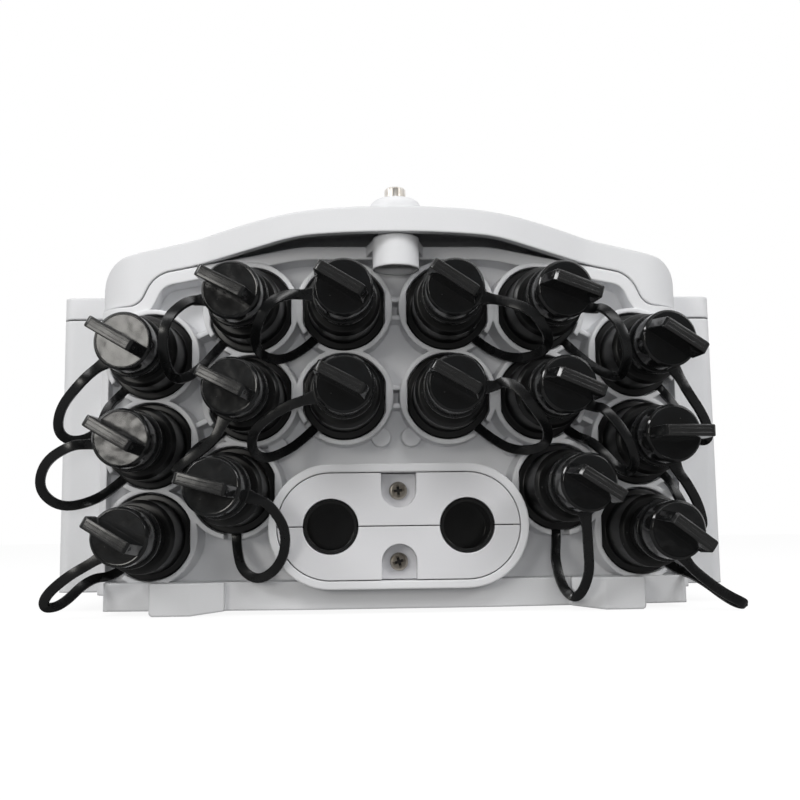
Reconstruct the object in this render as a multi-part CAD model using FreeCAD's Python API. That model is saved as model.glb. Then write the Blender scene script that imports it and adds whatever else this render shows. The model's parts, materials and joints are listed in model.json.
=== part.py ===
import FreeCAD, Part
import math
import os

# Fibre termination box, lying on its back: the lid faces +Z and the ports face -Y.
# The origin is the middle of the four mounting holes, at the soles of the feet. Lengths are in millimetres.
# Each port has a frame of its own: u along its facet to the right, v up and w out along the port's axis,
# from the front of the adapter's flange.

Vector = FreeCAD.Vector

# Case
CASE_HALF_WIDTH = 114.3
CASE_LENGTH = 250.0
CASE_CORNER = 4.0
CASE_WALL = 2.8
UNDERSIDE = 6.1
SEAM_HEIGHT = 99.4
SEAM_GAP = 0.5

# Port block at the front of the base
BLOCK_HALF_WIDTH = 98.4
BLOCK_REACH = 29.0
BLOCK_CORNER = 14.0
FACET_HALF_WIDTH = 31.0
FACET_BLEND = 25.0
SPLAY = 6.5
RIM_WALL = 4.2
PLATE_SETBACK = 9.0
PLATE_THICKNESS = 3.0

# Hood over the ports
HOOD_TOP = 117.9
HOOD_FLAT = 31.0
HOOD_SLOPE = 9.5
HOOD_CROWN_ROUND = 60.0
HOOD_SHOULDER = 78.9
HOOD_SHOULDER_ROUND = 10.0
HOOD_FOOT = 83.8
HOOD_FOOT_ROUND = 6.0

# Ledge under the port plate, cored from below between ribs
LEDGE_BOTTOM = 1.2
LEDGE_TOP = 10.0
LEDGE_PROUD = 3.0
LEDGE_HALF_WIDTH = 93.6
LEDGE_CORNER = 2.0
LEDGE_WALL = 2.6
LEDGE_POCKET_WIDTH = 30.0
LEDGE_POCKET_LENGTH = 22.0

# Mounting feet
FOOT_HALF_SPACING = 70.9
FOOT_WIDTH = 12.6
FOOT_LENGTH = 30.0
FOOT_PROUD = 6.0
FOOT_FLANK = 10.0
FOOT_ROUND = 1.2
FOOT_HOLE_RADIUS = 2.25
FOOT_HOLE_DEPTH = 8.0
FOOT_BOSS_WALL = 3.0
FRONT_HOLE_SETBACK = 10.0
REAR_HOLE_INSET = 15.0

# Port sites, from the middle of the box outwards
MIDDLE_COLUMN = 16.75
INNER_COLUMN = 46.9
LOWER_COLUMN = 52.25
OUTER_COLUMN = 79.2
MIDDLE_TOP_ROW = 97.5
INNER_TOP_ROW = 97.2
LOWER_ROW = 38.8
OUTER_TOP_ROW = 82.5
ROW_PITCH = 29.05

# Adapter
FLANGE_RADIUS = 13.8
FLANGE_FLAT = 12.9
FLANGE_THICKNESS = 3.2
BARREL_RADIUS = 11.5
BARREL_LENGTH = 13.0
BARREL_CHAMFER = 1.1
SLEEVE_RADIUS = 6.8
SLEEVE_LENGTH = 11.0
SLEEVE_BORE = 4.6
FERRULE_RADIUS = 2.4
FERRULE_BORE = 1.25
TAIL_RADIUS = 9.5
TAIL_LENGTH = 32.8
SOCKET_WIDTH = 9.3
SOCKET_HEIGHT = 7.4
SOCKET_DEPTH = 3.5
NUT_FLATS = 24.0
NUT_THICKNESS = 5.5
NUT_CLEARANCE = 0.15
NUT_TURN = 30.0

# Collars round the ports
COLLAR_WALL = 1.55
COLLAR_CLEARANCE = 0.4
COLLAR_RIM = 0.8
COLLAR_SLOT = 6.0
BORE_CLEARANCE = 0.3
RIB_THICKNESS = 1.6
RIB_SETBACK = 1.0
PAD_RADIUS = 3.2
PAD_SETBACK = 5.0
PAD_TURN = {"c2": 313, "d2": 227, "b2": 297, "e2": 243}

# Cap tether
WASHER_THICKNESS = 1.8
WASHER_CLEARANCE = 0.1
WASHER_WALL = 3.2
STRAP_WIDTH = 3.0
STRAP_THICKNESS = 1.3
STRAP_OUTSTAND = 3.2
RUN_SHARE = 0.45
RING_REACH = 21.0
RING_WALL = 1.6
RING_CLEARANCE = 0.3

# Dust cap
CAP_RADIUS = 8.9
CAP_FACE_RADIUS = 8.15
CAP_LENGTH = 18.0
CAP_CHAMFER = 1.4
CAP_CLEARANCE = 0.25
CAP_GROOVE_DEPTH = 1.2
FIN_THICKNESS = 3.6
FIN_HEIGHT = 9.4
FIN_OVERHANG = 9.2
FIN_TOP = 5.6
FIN_FOOT = 8.0
FIN_CHAMFER = 0.9

# Cable gland
GLAND_HEIGHT = 26.8
GLAND_HALF_HEIGHT = 19.4
GLAND_HOLE_HALF_SPACING = 21.3
GLAND_HOLE_RADIUS = 8.65
GLAND_RING_WALL = 2.6
GLAND_PROUD = 8.0
GLAND_FLOOR = 3.0
CLAMP_DEPTH = 14.0
CLAMP_CLEARANCE = 0.3
CLAMP_SPLIT = 0.3
CLAMP_POCKET_WIDTH = 11.0
CLAMP_POCKET_DEPTH = 6.0
CLAMP_POCKET_MARGIN = 5.5
GLAND_SCREW_OFFSET = 11.1
GLAND_SCREW_HEAD = 2.55
GLAND_SCREW_HEAD_HEIGHT = 1.9
GLAND_SCREW_RADIUS = 1.5
GLAND_SCREW_CLEARANCE = 0.15
CROSS_REACH = 1.5
CROSS_WIDTH = 0.7
SEAL_FLANGE = 2.8
PLUG_RECESS = 0.8
PLUG_WALL = 1.0
PLUG_DEPTH = 13.0
PLUG_TAIL = 4.0

# Lid
LID_WALL = 2.7
LID_RIM_TOP = 107.4
LID_TOP = 126.5
LID_FLAT = 38.0
LID_SLOPE = 11.0
LID_CROWN_ROUND = 200.0
LID_SHOULDER_ROUND = 13.0
PLATEAU_HALF_WIDTH = 98.6
PLATEAU_CORNER = 18.0
NOSE_TIP = 27.7
NOSE_ROUND = 95.0
NOSE_HALF_WIDTH = 65.0
NOSE_FOOT_ROUND = 25.0
BULKHEAD = 3.2

# Seal between base and lid
SEAL_WIDTH = 1.4
SEAL_DEPTH = 1.2
SEAL_FIT = 0.1

# Lock
LOCK_FORWARD = 8.0
LOCK_BOSS_RADIUS = 7.4
LOCK_BOSS_HEIGHT = 10.0
LOCK_BOSS_RISE = 0.3
LOCK_WEB_HEIGHT = 3.4
LOCK_WEB_SPREAD = 3.0
LOCK_CORE_RADIUS = 6.5
LOCK_CORE_DEPTH = 6.0
INSERT_RADIUS = 4.0
INSERT_BORE = 3.3
LOCK_PAD_RADIUS = 8.5
LOCK_PAD_HEIGHT = 4.4
LOCK_PAD_ROUND = 3.6
BOLT_RADIUS = 3.0
BOLT_HEAD_RADIUS = 3.4
BOLT_HEAD_HEIGHT = 3.9
BOLT_ENGAGEMENT = 4.2
BOLT_SLOT_WIDTH = 1.0
BOLT_SLOT_DEPTH = 1.3
LOCK_TUBE_RADIUS = 5.6
LOCK_TUBE_GAP = 0.6

# Hinge at the rear
HINGE_HALF_SPACING = 70.0
HINGE_OFFSET = 5.5
HINGE_RISE = 0.6
HINGE_RADIUS = 4.5
HINGE_GUSSET = 14.0
BASE_KNUCKLE_WIDTH = 16.0
LID_KNUCKLE_WIDTH = 8.0
KNUCKLE_GAP = 0.3
PIN_RADIUS = 2.0
PIN_CLEARANCE = 0.05

# Splice tray
TRAY_HALF_WIDTH = 85.0
TRAY_FRONT_SETBACK = 48.0
TRAY_REAR_INSET = 22.0
TRAY_HEIGHT = 60.0
TRAY_FLOOR = 2.0
TRAY_RIM = 9.0
TRAY_WALL = 1.6
TRAY_CORNER = 12.0
TRAY_POST_RADIUS = 5.0
TRAY_PEG_RADIUS = 2.0
TRAY_PEG_CLEARANCE = 0.2
TRAY_POST_INSET = 15.0
TRAY_DRUM_RADIUS = 30.0
TRAY_COMB_WIDTH = 40.0
TRAY_COMB_TEETH = 7
TRAY_COMB_PITCH = 4.5

# Worked out from the sizes above
SPLAY_ANGLE = math.radians(SPLAY)
HOOD_FALL = math.tan(math.radians(HOOD_SLOPE))
LID_FALL = math.tan(math.radians(LID_SLOPE))
FOOT_SPACING_Y = CASE_LENGTH + BLOCK_REACH - FRONT_HOLE_SETBACK - REAR_HOLE_INSET
PORT_Y = -FOOT_SPACING_Y / 2 - FRONT_HOLE_SETBACK
FRONT_Y = PORT_Y + BLOCK_REACH
REAR_Y = FRONT_Y + CASE_LENGTH
FLOOR = UNDERSIDE + CASE_WALL
LID_BOTTOM = SEAM_HEIGHT + SEAM_GAP
COLLAR_BORE = FLANGE_RADIUS + COLLAR_CLEARANCE
COLLAR_RADIUS = COLLAR_BORE + COLLAR_WALL
SEAT = -(FLANGE_THICKNESS + WASHER_THICKNESS + 2 * WASHER_CLEARANCE)
CAP_SEAT = BARREL_LENGTH + CAP_CLEARANCE
CAP_FACE = CAP_SEAT + CAP_LENGTH
RING_BORE = CAP_RADIUS - CAP_GROOVE_DEPTH + RING_CLEARANCE
GLAND_FACE_Y = PORT_Y - GLAND_PROUD
CLAMP_REAR_Y = GLAND_FACE_Y + CLAMP_DEPTH
GLAND_FLOOR_Y = CLAMP_REAR_Y + SEAL_FLANGE + 2 * CLAMP_CLEARANCE
LOCK_Y = PORT_Y - LOCK_FORWARD
LOCK_BOSS_TOP = HOOD_TOP + LOCK_BOSS_RISE
LOCK_PAD_TOP = LID_TOP + LOCK_PAD_HEIGHT
HINGE_Y = REAR_Y + HINGE_OFFSET
HINGE_Z = SEAM_HEIGHT + HINGE_RISE
TRAY_FRONT_Y = FRONT_Y + TRAY_FRONT_SETBACK
TRAY_REAR_Y = REAR_Y - TRAY_REAR_INSET
CUT_OVERRUN = 1.0
SHORTEST_EDGE = 1e-6

LEFT_SITES = {
    "a1": (OUTER_COLUMN, OUTER_TOP_ROW),
    "a2": (OUTER_COLUMN, OUTER_TOP_ROW - ROW_PITCH),
    "a3": (OUTER_COLUMN, OUTER_TOP_ROW - 2 * ROW_PITCH),
    "b1": (INNER_COLUMN, INNER_TOP_ROW),
    "b2": (INNER_COLUMN, INNER_TOP_ROW - ROW_PITCH),
    "b3": (LOWER_COLUMN, LOWER_ROW),
    "c1": (MIDDLE_COLUMN, MIDDLE_TOP_ROW),
    "c2": (MIDDLE_COLUMN, MIDDLE_TOP_ROW - ROW_PITCH),
}
MIRROR_COLUMN = {"a": "f", "b": "e", "c": "d"}
LEFT_RIBS = [("a1", "b1"), ("a1", "b2"), ("a2", "b2"), ("a2", "b3"), ("a3", "b3")]

# How each cap was left turned: direction of the fin's overhanging end, in degrees about the port's axis
FIN_TURN = {
    "a1": 149, "a2": 149, "a3": 149, "b1": 152, "b2": 153, "b3": 165, "c1": 149, "c2": 152,
    "d1": 146, "d2": 150, "e1": -19, "e2": -22, "e3": -32, "f1": -32, "f2": 0, "f3": -36,
}

# Where each tether leaves its collar and its cap ring, in degrees about the port's axis
SLOT_TURN = {
    "a": 225, "b": 225, "c": 225, "d": 315, "e": 315, "f": 315,
    "a3": 225, "b3": 270, "e3": 270, "f3": 315,
}
TAB_TURN = {
    "a1": 210, "a2": 184, "a3": 214, "b1": 184, "b2": 246, "b3": 343, "c1": 181, "c2": 197,
    "d1": -8, "d2": 0, "e1": -19, "e2": -28, "e3": 279, "f1": -57, "f2": -66, "f3": -57,
}

# Loop of each tether from the cap ring to the collar, as points (u, v, w) of its port
TETHER_ROUTE = {
    "a1": [
        (-15.0, -11.5, 24.4), (-23.0, -18.4, 19.2), (-25.0, -25.7, 15.9),
        (-20.5, -28.7, 13.4), (-13.6, -25.8, 10.6), (-12.4, -17.2, 7.0),
    ],
    "a2": [
        (-17.5, -1.3, 24.6), (-27.0, -6.0, 20.7), (-30.1, -14.3, 17.0),
        (-24.8, -19.8, 12.4), (-16.1, -18.0, 8.4),
    ],
    "a3": [
        (-17.9, -11.3, 22.7), (-26.4, -17.3, 18.6), (-28.0, -21.3, 15.8),
        (-23.5, -20.7, 12.2), (-16.4, -12.6, 9.0),
    ],
    "b1": [
        (-14.2, -2.5, 27.6), (-18.4, -8.4, 33.1), (-20.0, -15.9, 33.3),
        (-20.4, -24.0, 24.3), (-18.3, -25.1, 16.0), (-13.7, -19.6, 8.5),
    ],
    "b2": [
        (-7.3, -15.3, 20.8), (-12.5, -18.7, 18.4), (-19.3, -23.1, 18.1),
        (-20.6, -24.6, 13.3), (-14.5, -15.5, 9.0),
    ],
    "b3": [
        (15.4, -5.4, 19.8), (19.7, -12.9, 15.3), (17.7, -22.6, 10.5),
        (10.5, -28.4, 7.3), (3.6, -25.7, 4.1),
    ],
    "c1": [
        (-16.9, -0.5, 23.0), (-22.1, -3.3, 26.0), (-25.4, -8.7, 26.0),
        (-27.4, -14.5, 19.0), (-25.5, -18.1, 13.0), (-19.0, -18.6, 8.0),
    ],
    "c2": [
        (-16.4, -5.1, 21.0), (-23.1, -8.6, 20.0), (-28.0, -13.2, 18.0),
        (-28.4, -18.6, 14.0), (-24.4, -20.8, 10.0), (-17.3, -17.4, 5.0),
    ],
    "d1": [
        (16.6, -3.4, 24.0), (22.4, -5.7, 26.0), (26.5, -10.0, 26.0),
        (30.4, -14.9, 19.0), (27.0, -18.6, 15.0), (18.9, -18.4, 8.0),
    ],
    "d2": [
        (14.2, 1.7, 22.0), (18.8, -0.3, 25.0), (22.8, -6.2, 26.0),
        (29.2, -12.9, 19.0), (28.9, -18.1, 12.0), (19.9, -18.9, 7.0),
    ],
    "e1": [
        (13.0, -4.5, 26.5), (16.1, -9.2, 29.9), (18.3, -15.3, 31.1),
        (19.4, -21.4, 29.2), (20.4, -25.8, 19.3), (16.3, -22.0, 10.8),
    ],
    "e2": [
        (12.3, -6.3, 25.4), (16.5, -12.1, 27.9), (19.9, -18.5, 28.3),
        (23.1, -24.8, 22.6), (21.6, -26.2, 15.4), (14.5, -15.5, 10.0),
    ],
    "e3": [
        (3.2, -18.6, 17.9), (4.8, -27.9, 14.1), (2.1, -35.7, 9.8),
        (-1.5, -32.7, 6.3), (-2.9, -23.4, 3.1),
    ],
    "f1": [
        (8.4, -15.1, 22.6), (15.1, -22.6, 19.3), (18.8, -29.2, 15.7),
        (16.3, -30.4, 11.4), (11.9, -20.0, 7.9),
    ],
    "f2": [
        (6.7, -14.2, 22.4), (12.2, -21.3, 19.0), (15.3, -29.0, 15.3),
        (13.4, -27.0, 11.1), (10.3, -18.2, 7.7),
    ],
    "f3": [
        (11.8, -12.3, 24.0), (18.8, -18.4, 23.8), (23.9, -22.4, 23.4),
        (20.9, -21.0, 17.8), (14.0, -13.0, 9.4),
    ],
}


# Outlines and prisms

def outline(corners, place):
    """Closed wire through corners (u, v, radius), each rounded by an arc where its radius isn't 0."""
    entries = []
    edges = []
    for index, (u, v, radius) in enumerate(corners):
        corner = place(u, v)
        if radius == 0:
            entries.append((corner, corner))
            continue
        before = place(*corners[index - 1][:2]) - corner
        after = place(*corners[(index + 1) % len(corners)][:2]) - corner
        half_angle = before.getAngle(after) / 2
        before.normalize()
        after.normalize()
        reach = radius / math.tan(half_angle)
        middle = (before + after).normalize() * (radius / math.sin(half_angle) - radius)
        entries.append((corner + before * reach, corner + after * reach))
        edges.append(Part.Arc(entries[-1][0], corner + middle, entries[-1][1]).toShape())
    for (_, leave), (enter, _) in zip(entries, entries[1:] + entries[:1]):
        if (enter - leave).Length > SHORTEST_EDGE:
            edges.append(Part.makeLine(leave, enter))
    return Part.Wire(Part.__sortEdges__(edges))


def plan_face(corners, height):
    """Flat face with an outline in X and Y."""
    return Part.Face(outline(corners, lambda u, v: Vector(u, v, height)))


def front_face(corners, y):
    """Flat face with an outline in X and Z."""
    return Part.Face(outline(corners, lambda u, v: Vector(u, y, v)))


def side_face(corners, x):
    """Flat face with an outline in Y and Z."""
    return Part.Face(outline(corners, lambda u, v: Vector(x, u, v)))


def raised(face, height):
    """Prism upwards from a plan face."""
    return face.extrude(Vector(0, 0, height))


def drawn_back(face, length):
    """Prism towards the rear from a front face."""
    return face.extrude(Vector(0, length, 0))


def drawn_right(face, length):
    """Prism towards +X from a side face."""
    return face.extrude(Vector(length, 0, 0))


def offset(face, amount):
    """Face with its outline moved outwards, or inwards where the amount is negative."""
    return Part.Face(face.makeOffset2D(amount, join=2).OuterWire)


def both_sides(half):
    """Corners of an outline that is the same left and right, from those of its right half."""
    return half + [(-u, v, radius) for u, v, radius in reversed(half)]


def rectangle(half_width, front, rear, corner):
    """Corners of a rounded rectangle that is centred on X."""
    return both_sides([(half_width, front, corner), (half_width, rear, corner)])


def stadium(half_length, middle, half_height):
    """Corners of an upright outline with straight top and bottom and round ends."""
    end = half_length + half_height
    low = middle - half_height
    high = middle + half_height
    return both_sides([(end, low, half_height), (end, high, half_height)])


def cylinder_y(radius, x, z, front, rear):
    """Cylinder along Y between two planes."""
    return Part.makeCylinder(radius, rear - front, Vector(x, front, z), Vector(0, 1, 0))


def cylinder_z(radius, x, y, low, high):
    """Upright cylinder between two heights."""
    return Part.makeCylinder(radius, high - low, Vector(x, y, low))


def turned(profile):
    """Solid of revolution about the port's axis, from corners (radius, w)."""
    points = [Vector(radius, 0, w) for radius, w in profile]
    return Part.Face(Part.makePolygon(points + points[:1])).revolve(Vector(), Vector(0, 0, 1), 360)


# Ports

def facet_depth(x):
    """How far the splayed facet lies behind the middle one at a distance from the centre line."""
    return max(0.0, abs(x) - FACET_HALF_WIDTH) * math.tan(SPLAY_ANGLE)


def port_frames():
    """Placement of each port's frame, by the port's name."""
    frames = {}
    for name, (x, z) in LEFT_SITES.items():
        tilt = SPLAY_ANGLE if x > FACET_HALF_WIDTH else 0.0
        mirrored = MIRROR_COLUMN[name[0]] + name[1:]
        for port, side in ((name, -1), (mirrored, 1)):
            origin = Vector(side * x, PORT_Y + facet_depth(x), z)
            u = Vector(math.cos(tilt), side * math.sin(tilt), 0)
            w = Vector(side * math.sin(tilt), -math.cos(tilt), 0)
            frames[port] = FreeCAD.Placement(FreeCAD.Matrix(
                u.x, 0, w.x, origin.x,
                u.y, 0, w.y, origin.y,
                0, 1, 0, origin.z,
            ))
    return frames


PORTS = port_frames()


def at_port(shape, port):
    """Copy of a shape that was built in a port's frame, put at that port."""
    moved = shape.copy()
    moved.Placement = PORTS[port].multiply(shape.Placement)
    return moved


def turned_about_axis(shape, degrees):
    """Copy of a shape in a port's frame, turned about the port's axis."""
    moved = shape.copy()
    moved.rotate(Vector(), Vector(0, 0, 1), degrees)
    return moved


def around(turn, radius, w):
    """Point of a port's frame at a direction and a radius."""
    angle = math.radians(turn)
    return Vector(radius * math.cos(angle), radius * math.sin(angle), w)


def slot_turn(port):
    """Direction of the slot in a port's collar."""
    return SLOT_TURN.get(port, SLOT_TURN[port[0]])


# Adapters, nuts and caps

def adapter():
    """Hardened adapter: flange, barrel, front sleeve with its ferrule, and threaded tail with a socket."""
    back = -FLANGE_THICKNESS
    front = BARREL_LENGTH + SLEEVE_LENGTH
    body = turned([
        (0, back - TAIL_LENGTH), (TAIL_RADIUS, back - TAIL_LENGTH), (TAIL_RADIUS, back),
        (FLANGE_RADIUS, back), (FLANGE_RADIUS, 0),
        (BARREL_RADIUS, 0), (BARREL_RADIUS, BARREL_LENGTH - BARREL_CHAMFER),
        (BARREL_RADIUS - BARREL_CHAMFER, BARREL_LENGTH), (SLEEVE_RADIUS, BARREL_LENGTH),
        (SLEEVE_RADIUS, front), (SLEEVE_BORE, front), (SLEEVE_BORE, BARREL_LENGTH),
        (FERRULE_RADIUS, BARREL_LENGTH),
        (FERRULE_RADIUS, front - FERRULE_RADIUS), (FERRULE_BORE, front - FERRULE_RADIUS),
        (FERRULE_BORE, BARREL_LENGTH), (0, BARREL_LENGTH),
    ])
    strip = Part.makeBox(
        FLANGE_RADIUS, 2 * FLANGE_RADIUS, FLANGE_THICKNESS, Vector(FLANGE_FLAT, -FLANGE_RADIUS, back),
    )
    socket = Part.makeBox(
        SOCKET_WIDTH, SOCKET_HEIGHT, SOCKET_DEPTH,
        Vector(-SOCKET_WIDTH / 2, -SOCKET_HEIGHT / 2, back - TAIL_LENGTH),
    )
    return body.cut([strip, turned_about_axis(strip, 180), socket])


def nut():
    """Hexagon nut behind the port plate."""
    rear = -(PLATE_SETBACK + PLATE_THICKNESS + NUT_THICKNESS)
    across_corners = NUT_FLATS / math.sqrt(3)
    points = [around(60 * corner + NUT_TURN, across_corners, rear) for corner in range(6)]
    blank = Part.Face(Part.makePolygon(points + points[:1])).extrude(Vector(0, 0, NUT_THICKNESS))
    bore = Part.makeCylinder(TAIL_RADIUS + NUT_CLEARANCE, NUT_THICKNESS, Vector(0, 0, rear))
    return blank.cut(bore)


def dust_cap():
    """Cap over the adapter's sleeve, with a groove for its tether ring and a thumb fin on its face."""
    groove_half = WASHER_THICKNESS / 2 + RING_CLEARANCE
    groove_radius = CAP_RADIUS - CAP_GROOVE_DEPTH
    bore = SLEEVE_RADIUS + CAP_CLEARANCE
    bore_end = BARREL_LENGTH + SLEEVE_LENGTH + CAP_CLEARANCE
    body = turned([
        (bore, CAP_SEAT), (CAP_RADIUS, CAP_SEAT), (CAP_RADIUS, RING_REACH - groove_half),
        (groove_radius, RING_REACH - groove_half), (groove_radius, RING_REACH + groove_half),
        (CAP_RADIUS, RING_REACH + groove_half), (CAP_RADIUS, CAP_FACE - CAP_CHAMFER),
        (CAP_FACE_RADIUS, CAP_FACE), (0, CAP_FACE), (0, bore_end), (bore, bore_end),
    ])
    top = CAP_FACE + FIN_HEIGHT
    profile = [
        (FIN_OVERHANG, CAP_FACE), (FIN_OVERHANG, top - FIN_CHAMFER), (FIN_OVERHANG - FIN_CHAMFER, top),
        (-FIN_TOP, top), (-FIN_FOOT, CAP_FACE), (-FIN_FOOT, CAP_FACE - CAP_CHAMFER),
        (CAP_FACE_RADIUS - CAP_CHAMFER, CAP_FACE - CAP_CHAMFER), (CAP_FACE_RADIUS - CAP_CHAMFER, CAP_FACE),
    ]
    points = [Vector(u, -FIN_THICKNESS / 2, w) for u, w in profile]
    fin = Part.Face(Part.makePolygon(points + points[:1])).extrude(Vector(0, FIN_THICKNESS, 0))
    return body.fuse(fin).removeSplitter()


# Cap tethers

def rounded_path(points):
    """Wire of straight runs that are joined by tangent arcs."""
    edges = []
    start = points[0]
    for before, corner, after in zip(points, points[1:], points[2:]):
        back = before - corner
        ahead = after - corner
        reach = RUN_SHARE * min(back.Length, ahead.Length)
        half_angle = back.getAngle(ahead) / 2
        back.normalize()
        ahead.normalize()
        entry = corner + back * reach
        leave = corner + ahead * reach
        middle = (back + ahead).normalize() * (reach * (1 - math.sin(half_angle)) / math.cos(half_angle))
        edges.append(Part.makeLine(start, entry))
        edges.append(Part.Arc(entry, corner + middle, leave).toShape())
        start = leave
    edges.append(Part.makeLine(start, points[-1]))
    return Part.Wire(edges)


def strap(points):
    """Flat strap along a route, its width across the port's axis."""
    axis = Vector(0, 0, 1)
    across = axis.cross((points[1] - points[0]).normalize()) * (STRAP_WIDTH / 2)
    rise = axis * (STRAP_THICKNESS / 2)
    start = points[0]
    section = [start + across + rise, start - across + rise, start - across - rise, start + across - rise]
    sweep = Part.BRepOffsetAPI.MakePipeShell(rounded_path(points))
    sweep.setBiNormalMode(axis)
    sweep.add(Part.makePolygon(section + section[:1]))
    sweep.build()
    sweep.makeSolid()
    return sweep.shape()


def washer(bore, wall, middle):
    """Flat ring about the port's axis."""
    low = middle - WASHER_THICKNESS / 2
    high = middle + WASHER_THICKNESS / 2
    return turned([(bore, low), (bore + wall, low), (bore + wall, high), (bore, high)])


def cap_tether(port):
    """Moulded tether: washer behind the flange, strap, and ring in the cap's groove."""
    washer_bore = TAIL_RADIUS + COLLAR_CLEARANCE
    washer_middle = -(FLANGE_THICKNESS + WASHER_CLEARANCE + WASHER_THICKNESS / 2)
    ring_edge = RING_BORE + RING_WALL
    route = [
        around(TAB_TURN[port], RING_BORE + RING_WALL / 2, RING_REACH),
        around(TAB_TURN[port], ring_edge + STRAP_OUTSTAND, RING_REACH),
        *(Vector(*point) for point in TETHER_ROUTE[port]),
        around(slot_turn(port), COLLAR_RADIUS + WASHER_THICKNESS, washer_middle),
        around(slot_turn(port), washer_bore + WASHER_WALL - STRAP_THICKNESS / 2, washer_middle),
    ]
    pieces = [washer(RING_BORE, RING_WALL, RING_REACH), strap(route)]
    return washer(washer_bore, WASHER_WALL, washer_middle).fuse(pieces).removeSplitter()


# Base housing

def block_plan(shift, half_width, corner, rear):
    """Plan of the port block, its three facets moved back by a distance measured square to each."""
    bend = FACET_HALF_WIDTH - shift * math.tan(SPLAY_ANGLE / 2)
    side_front = PORT_Y + facet_depth(half_width) + shift / math.cos(SPLAY_ANGLE)
    return both_sides([
        (bend, PORT_Y + shift, FACET_BLEND), (half_width, side_front, corner), (half_width, rear, 0),
    ])


def hood_outline():
    """Front outline of the block and its hood, down to the rim's lower edge."""
    shoulder = HOOD_TOP - (HOOD_SHOULDER - HOOD_FLAT) * HOOD_FALL
    return both_sides([
        (BLOCK_HALF_WIDTH, LEDGE_TOP - RIM_WALL, 0), (BLOCK_HALF_WIDTH, SEAM_HEIGHT, 0),
        (HOOD_FOOT, SEAM_HEIGHT, HOOD_FOOT_ROUND), (HOOD_SHOULDER, shoulder, HOOD_SHOULDER_ROUND),
        (HOOD_FLAT, HOOD_TOP, HOOD_CROWN_ROUND),
    ])


def hood_prism(grow, front, rear):
    """Prism of the hood's outline, grown or shrunk, between two planes."""
    return drawn_back(offset(front_face(hood_outline(), front), grow), rear - front)


def case_prism(inset, low, high):
    """Rounded box of the case's plan, drawn in by a distance."""
    corners = rectangle(CASE_HALF_WIDTH - inset, FRONT_Y + inset, REAR_Y - inset, CASE_CORNER - inset)
    return raised(plan_face(corners, low), high - low)


def port_block():
    """Hood rim and port plate as one hollow form, open to the case behind it."""
    inner_wall = FRONT_Y + CASE_WALL
    ahead = PORT_Y - FOOT_PROUD
    plan = raised(plan_face(block_plan(0, BLOCK_HALF_WIDTH, BLOCK_CORNER, inner_wall), 0), HOOD_TOP)
    outer = drawn_back(front_face(hood_outline(), ahead), inner_wall - ahead).common(plan)
    wide = CASE_HALF_WIDTH
    plate_front = raised(plan_face(block_plan(PLATE_SETBACK, wide, 0, inner_wall), 0), HOOD_TOP)
    rear_shift = PLATE_SETBACK + PLATE_THICKNESS
    plate_rear = raised(plan_face(block_plan(rear_shift, wide, 0, inner_wall), 0), HOOD_TOP)
    hollow = hood_prism(-RIM_WALL, ahead, inner_wall).cut(plate_front.cut(plate_rear))
    return outer, hollow


def ledge():
    """Slab under the port plate, cored from below between ribs."""
    plan = block_plan(-LEDGE_PROUD, LEDGE_HALF_WIDTH, LEDGE_CORNER, FRONT_Y + CASE_WALL)
    slab = raised(plan_face(plan, LEDGE_BOTTOM), LEDGE_TOP - LEDGE_BOTTOM)
    depth = LEDGE_TOP - LEDGE_BOTTOM - LEDGE_WALL
    pitch = LEDGE_POCKET_WIDTH + LEDGE_WALL
    pockets = [
        Part.makeBox(LEDGE_POCKET_WIDTH, LEDGE_POCKET_LENGTH, depth,
                     Vector(column * pitch - LEDGE_POCKET_WIDTH / 2, PORT_Y + LEDGE_WALL, LEDGE_BOTTOM))
        for column in (-1, 0, 1)
    ]
    return slab.cut(pockets)


def front_foot(side):
    """Front foot with its slanted inner flank."""
    outer = side * (FOOT_HALF_SPACING + FOOT_WIDTH / 2)
    inner = side * (FOOT_HALF_SPACING - FOOT_WIDTH / 2)
    flank = inner - side * FOOT_FLANK
    front = PORT_Y - FOOT_PROUD
    rear = front + FOOT_LENGTH
    corners = [
        (outer, front, 0), (outer, rear, 0), (flank, rear, 0),
        (flank, PORT_Y - LEDGE_PROUD, 0), (inner, front, 0),
    ]
    block = raised(plan_face(corners, 0), LEDGE_TOP)
    sight = [
        (outer, LEDGE_TOP, 0), (outer, 0, FOOT_ROUND), (inner, 0, FOOT_ROUND), (flank, LEDGE_BOTTOM, 0),
        (flank, LEDGE_TOP, 0),
    ]
    return block.common(drawn_back(front_face(sight, front), FOOT_LENGTH))


def rear_foot(side):
    """Rear foot under the case floor, with a boss inside for its hole."""
    x = side * FOOT_HALF_SPACING
    hole_y = REAR_Y - REAR_HOLE_INSET
    corners = [(x + FOOT_WIDTH / 2, REAR_Y, 0), (x + FOOT_WIDTH / 2, REAR_Y - FOOT_LENGTH, 0),
               (x - FOOT_WIDTH / 2, REAR_Y - FOOT_LENGTH, 0), (x - FOOT_WIDTH / 2, REAR_Y, 0)]
    boss_top = FOOT_HOLE_DEPTH + FOOT_BOSS_WALL
    boss = cylinder_z(FOOT_HOLE_RADIUS + FOOT_BOSS_WALL, x, hole_y, UNDERSIDE, boss_top)
    return raised(plan_face(corners, 0), FLOOR).fuse(boss)


def collar_blank():
    """Outside of a port's collar, rooted in the plate."""
    root = -(PLATE_SETBACK + PLATE_THICKNESS / 2)
    return Part.makeCylinder(COLLAR_RADIUS, COLLAR_RIM - root, Vector(0, 0, root))


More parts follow.
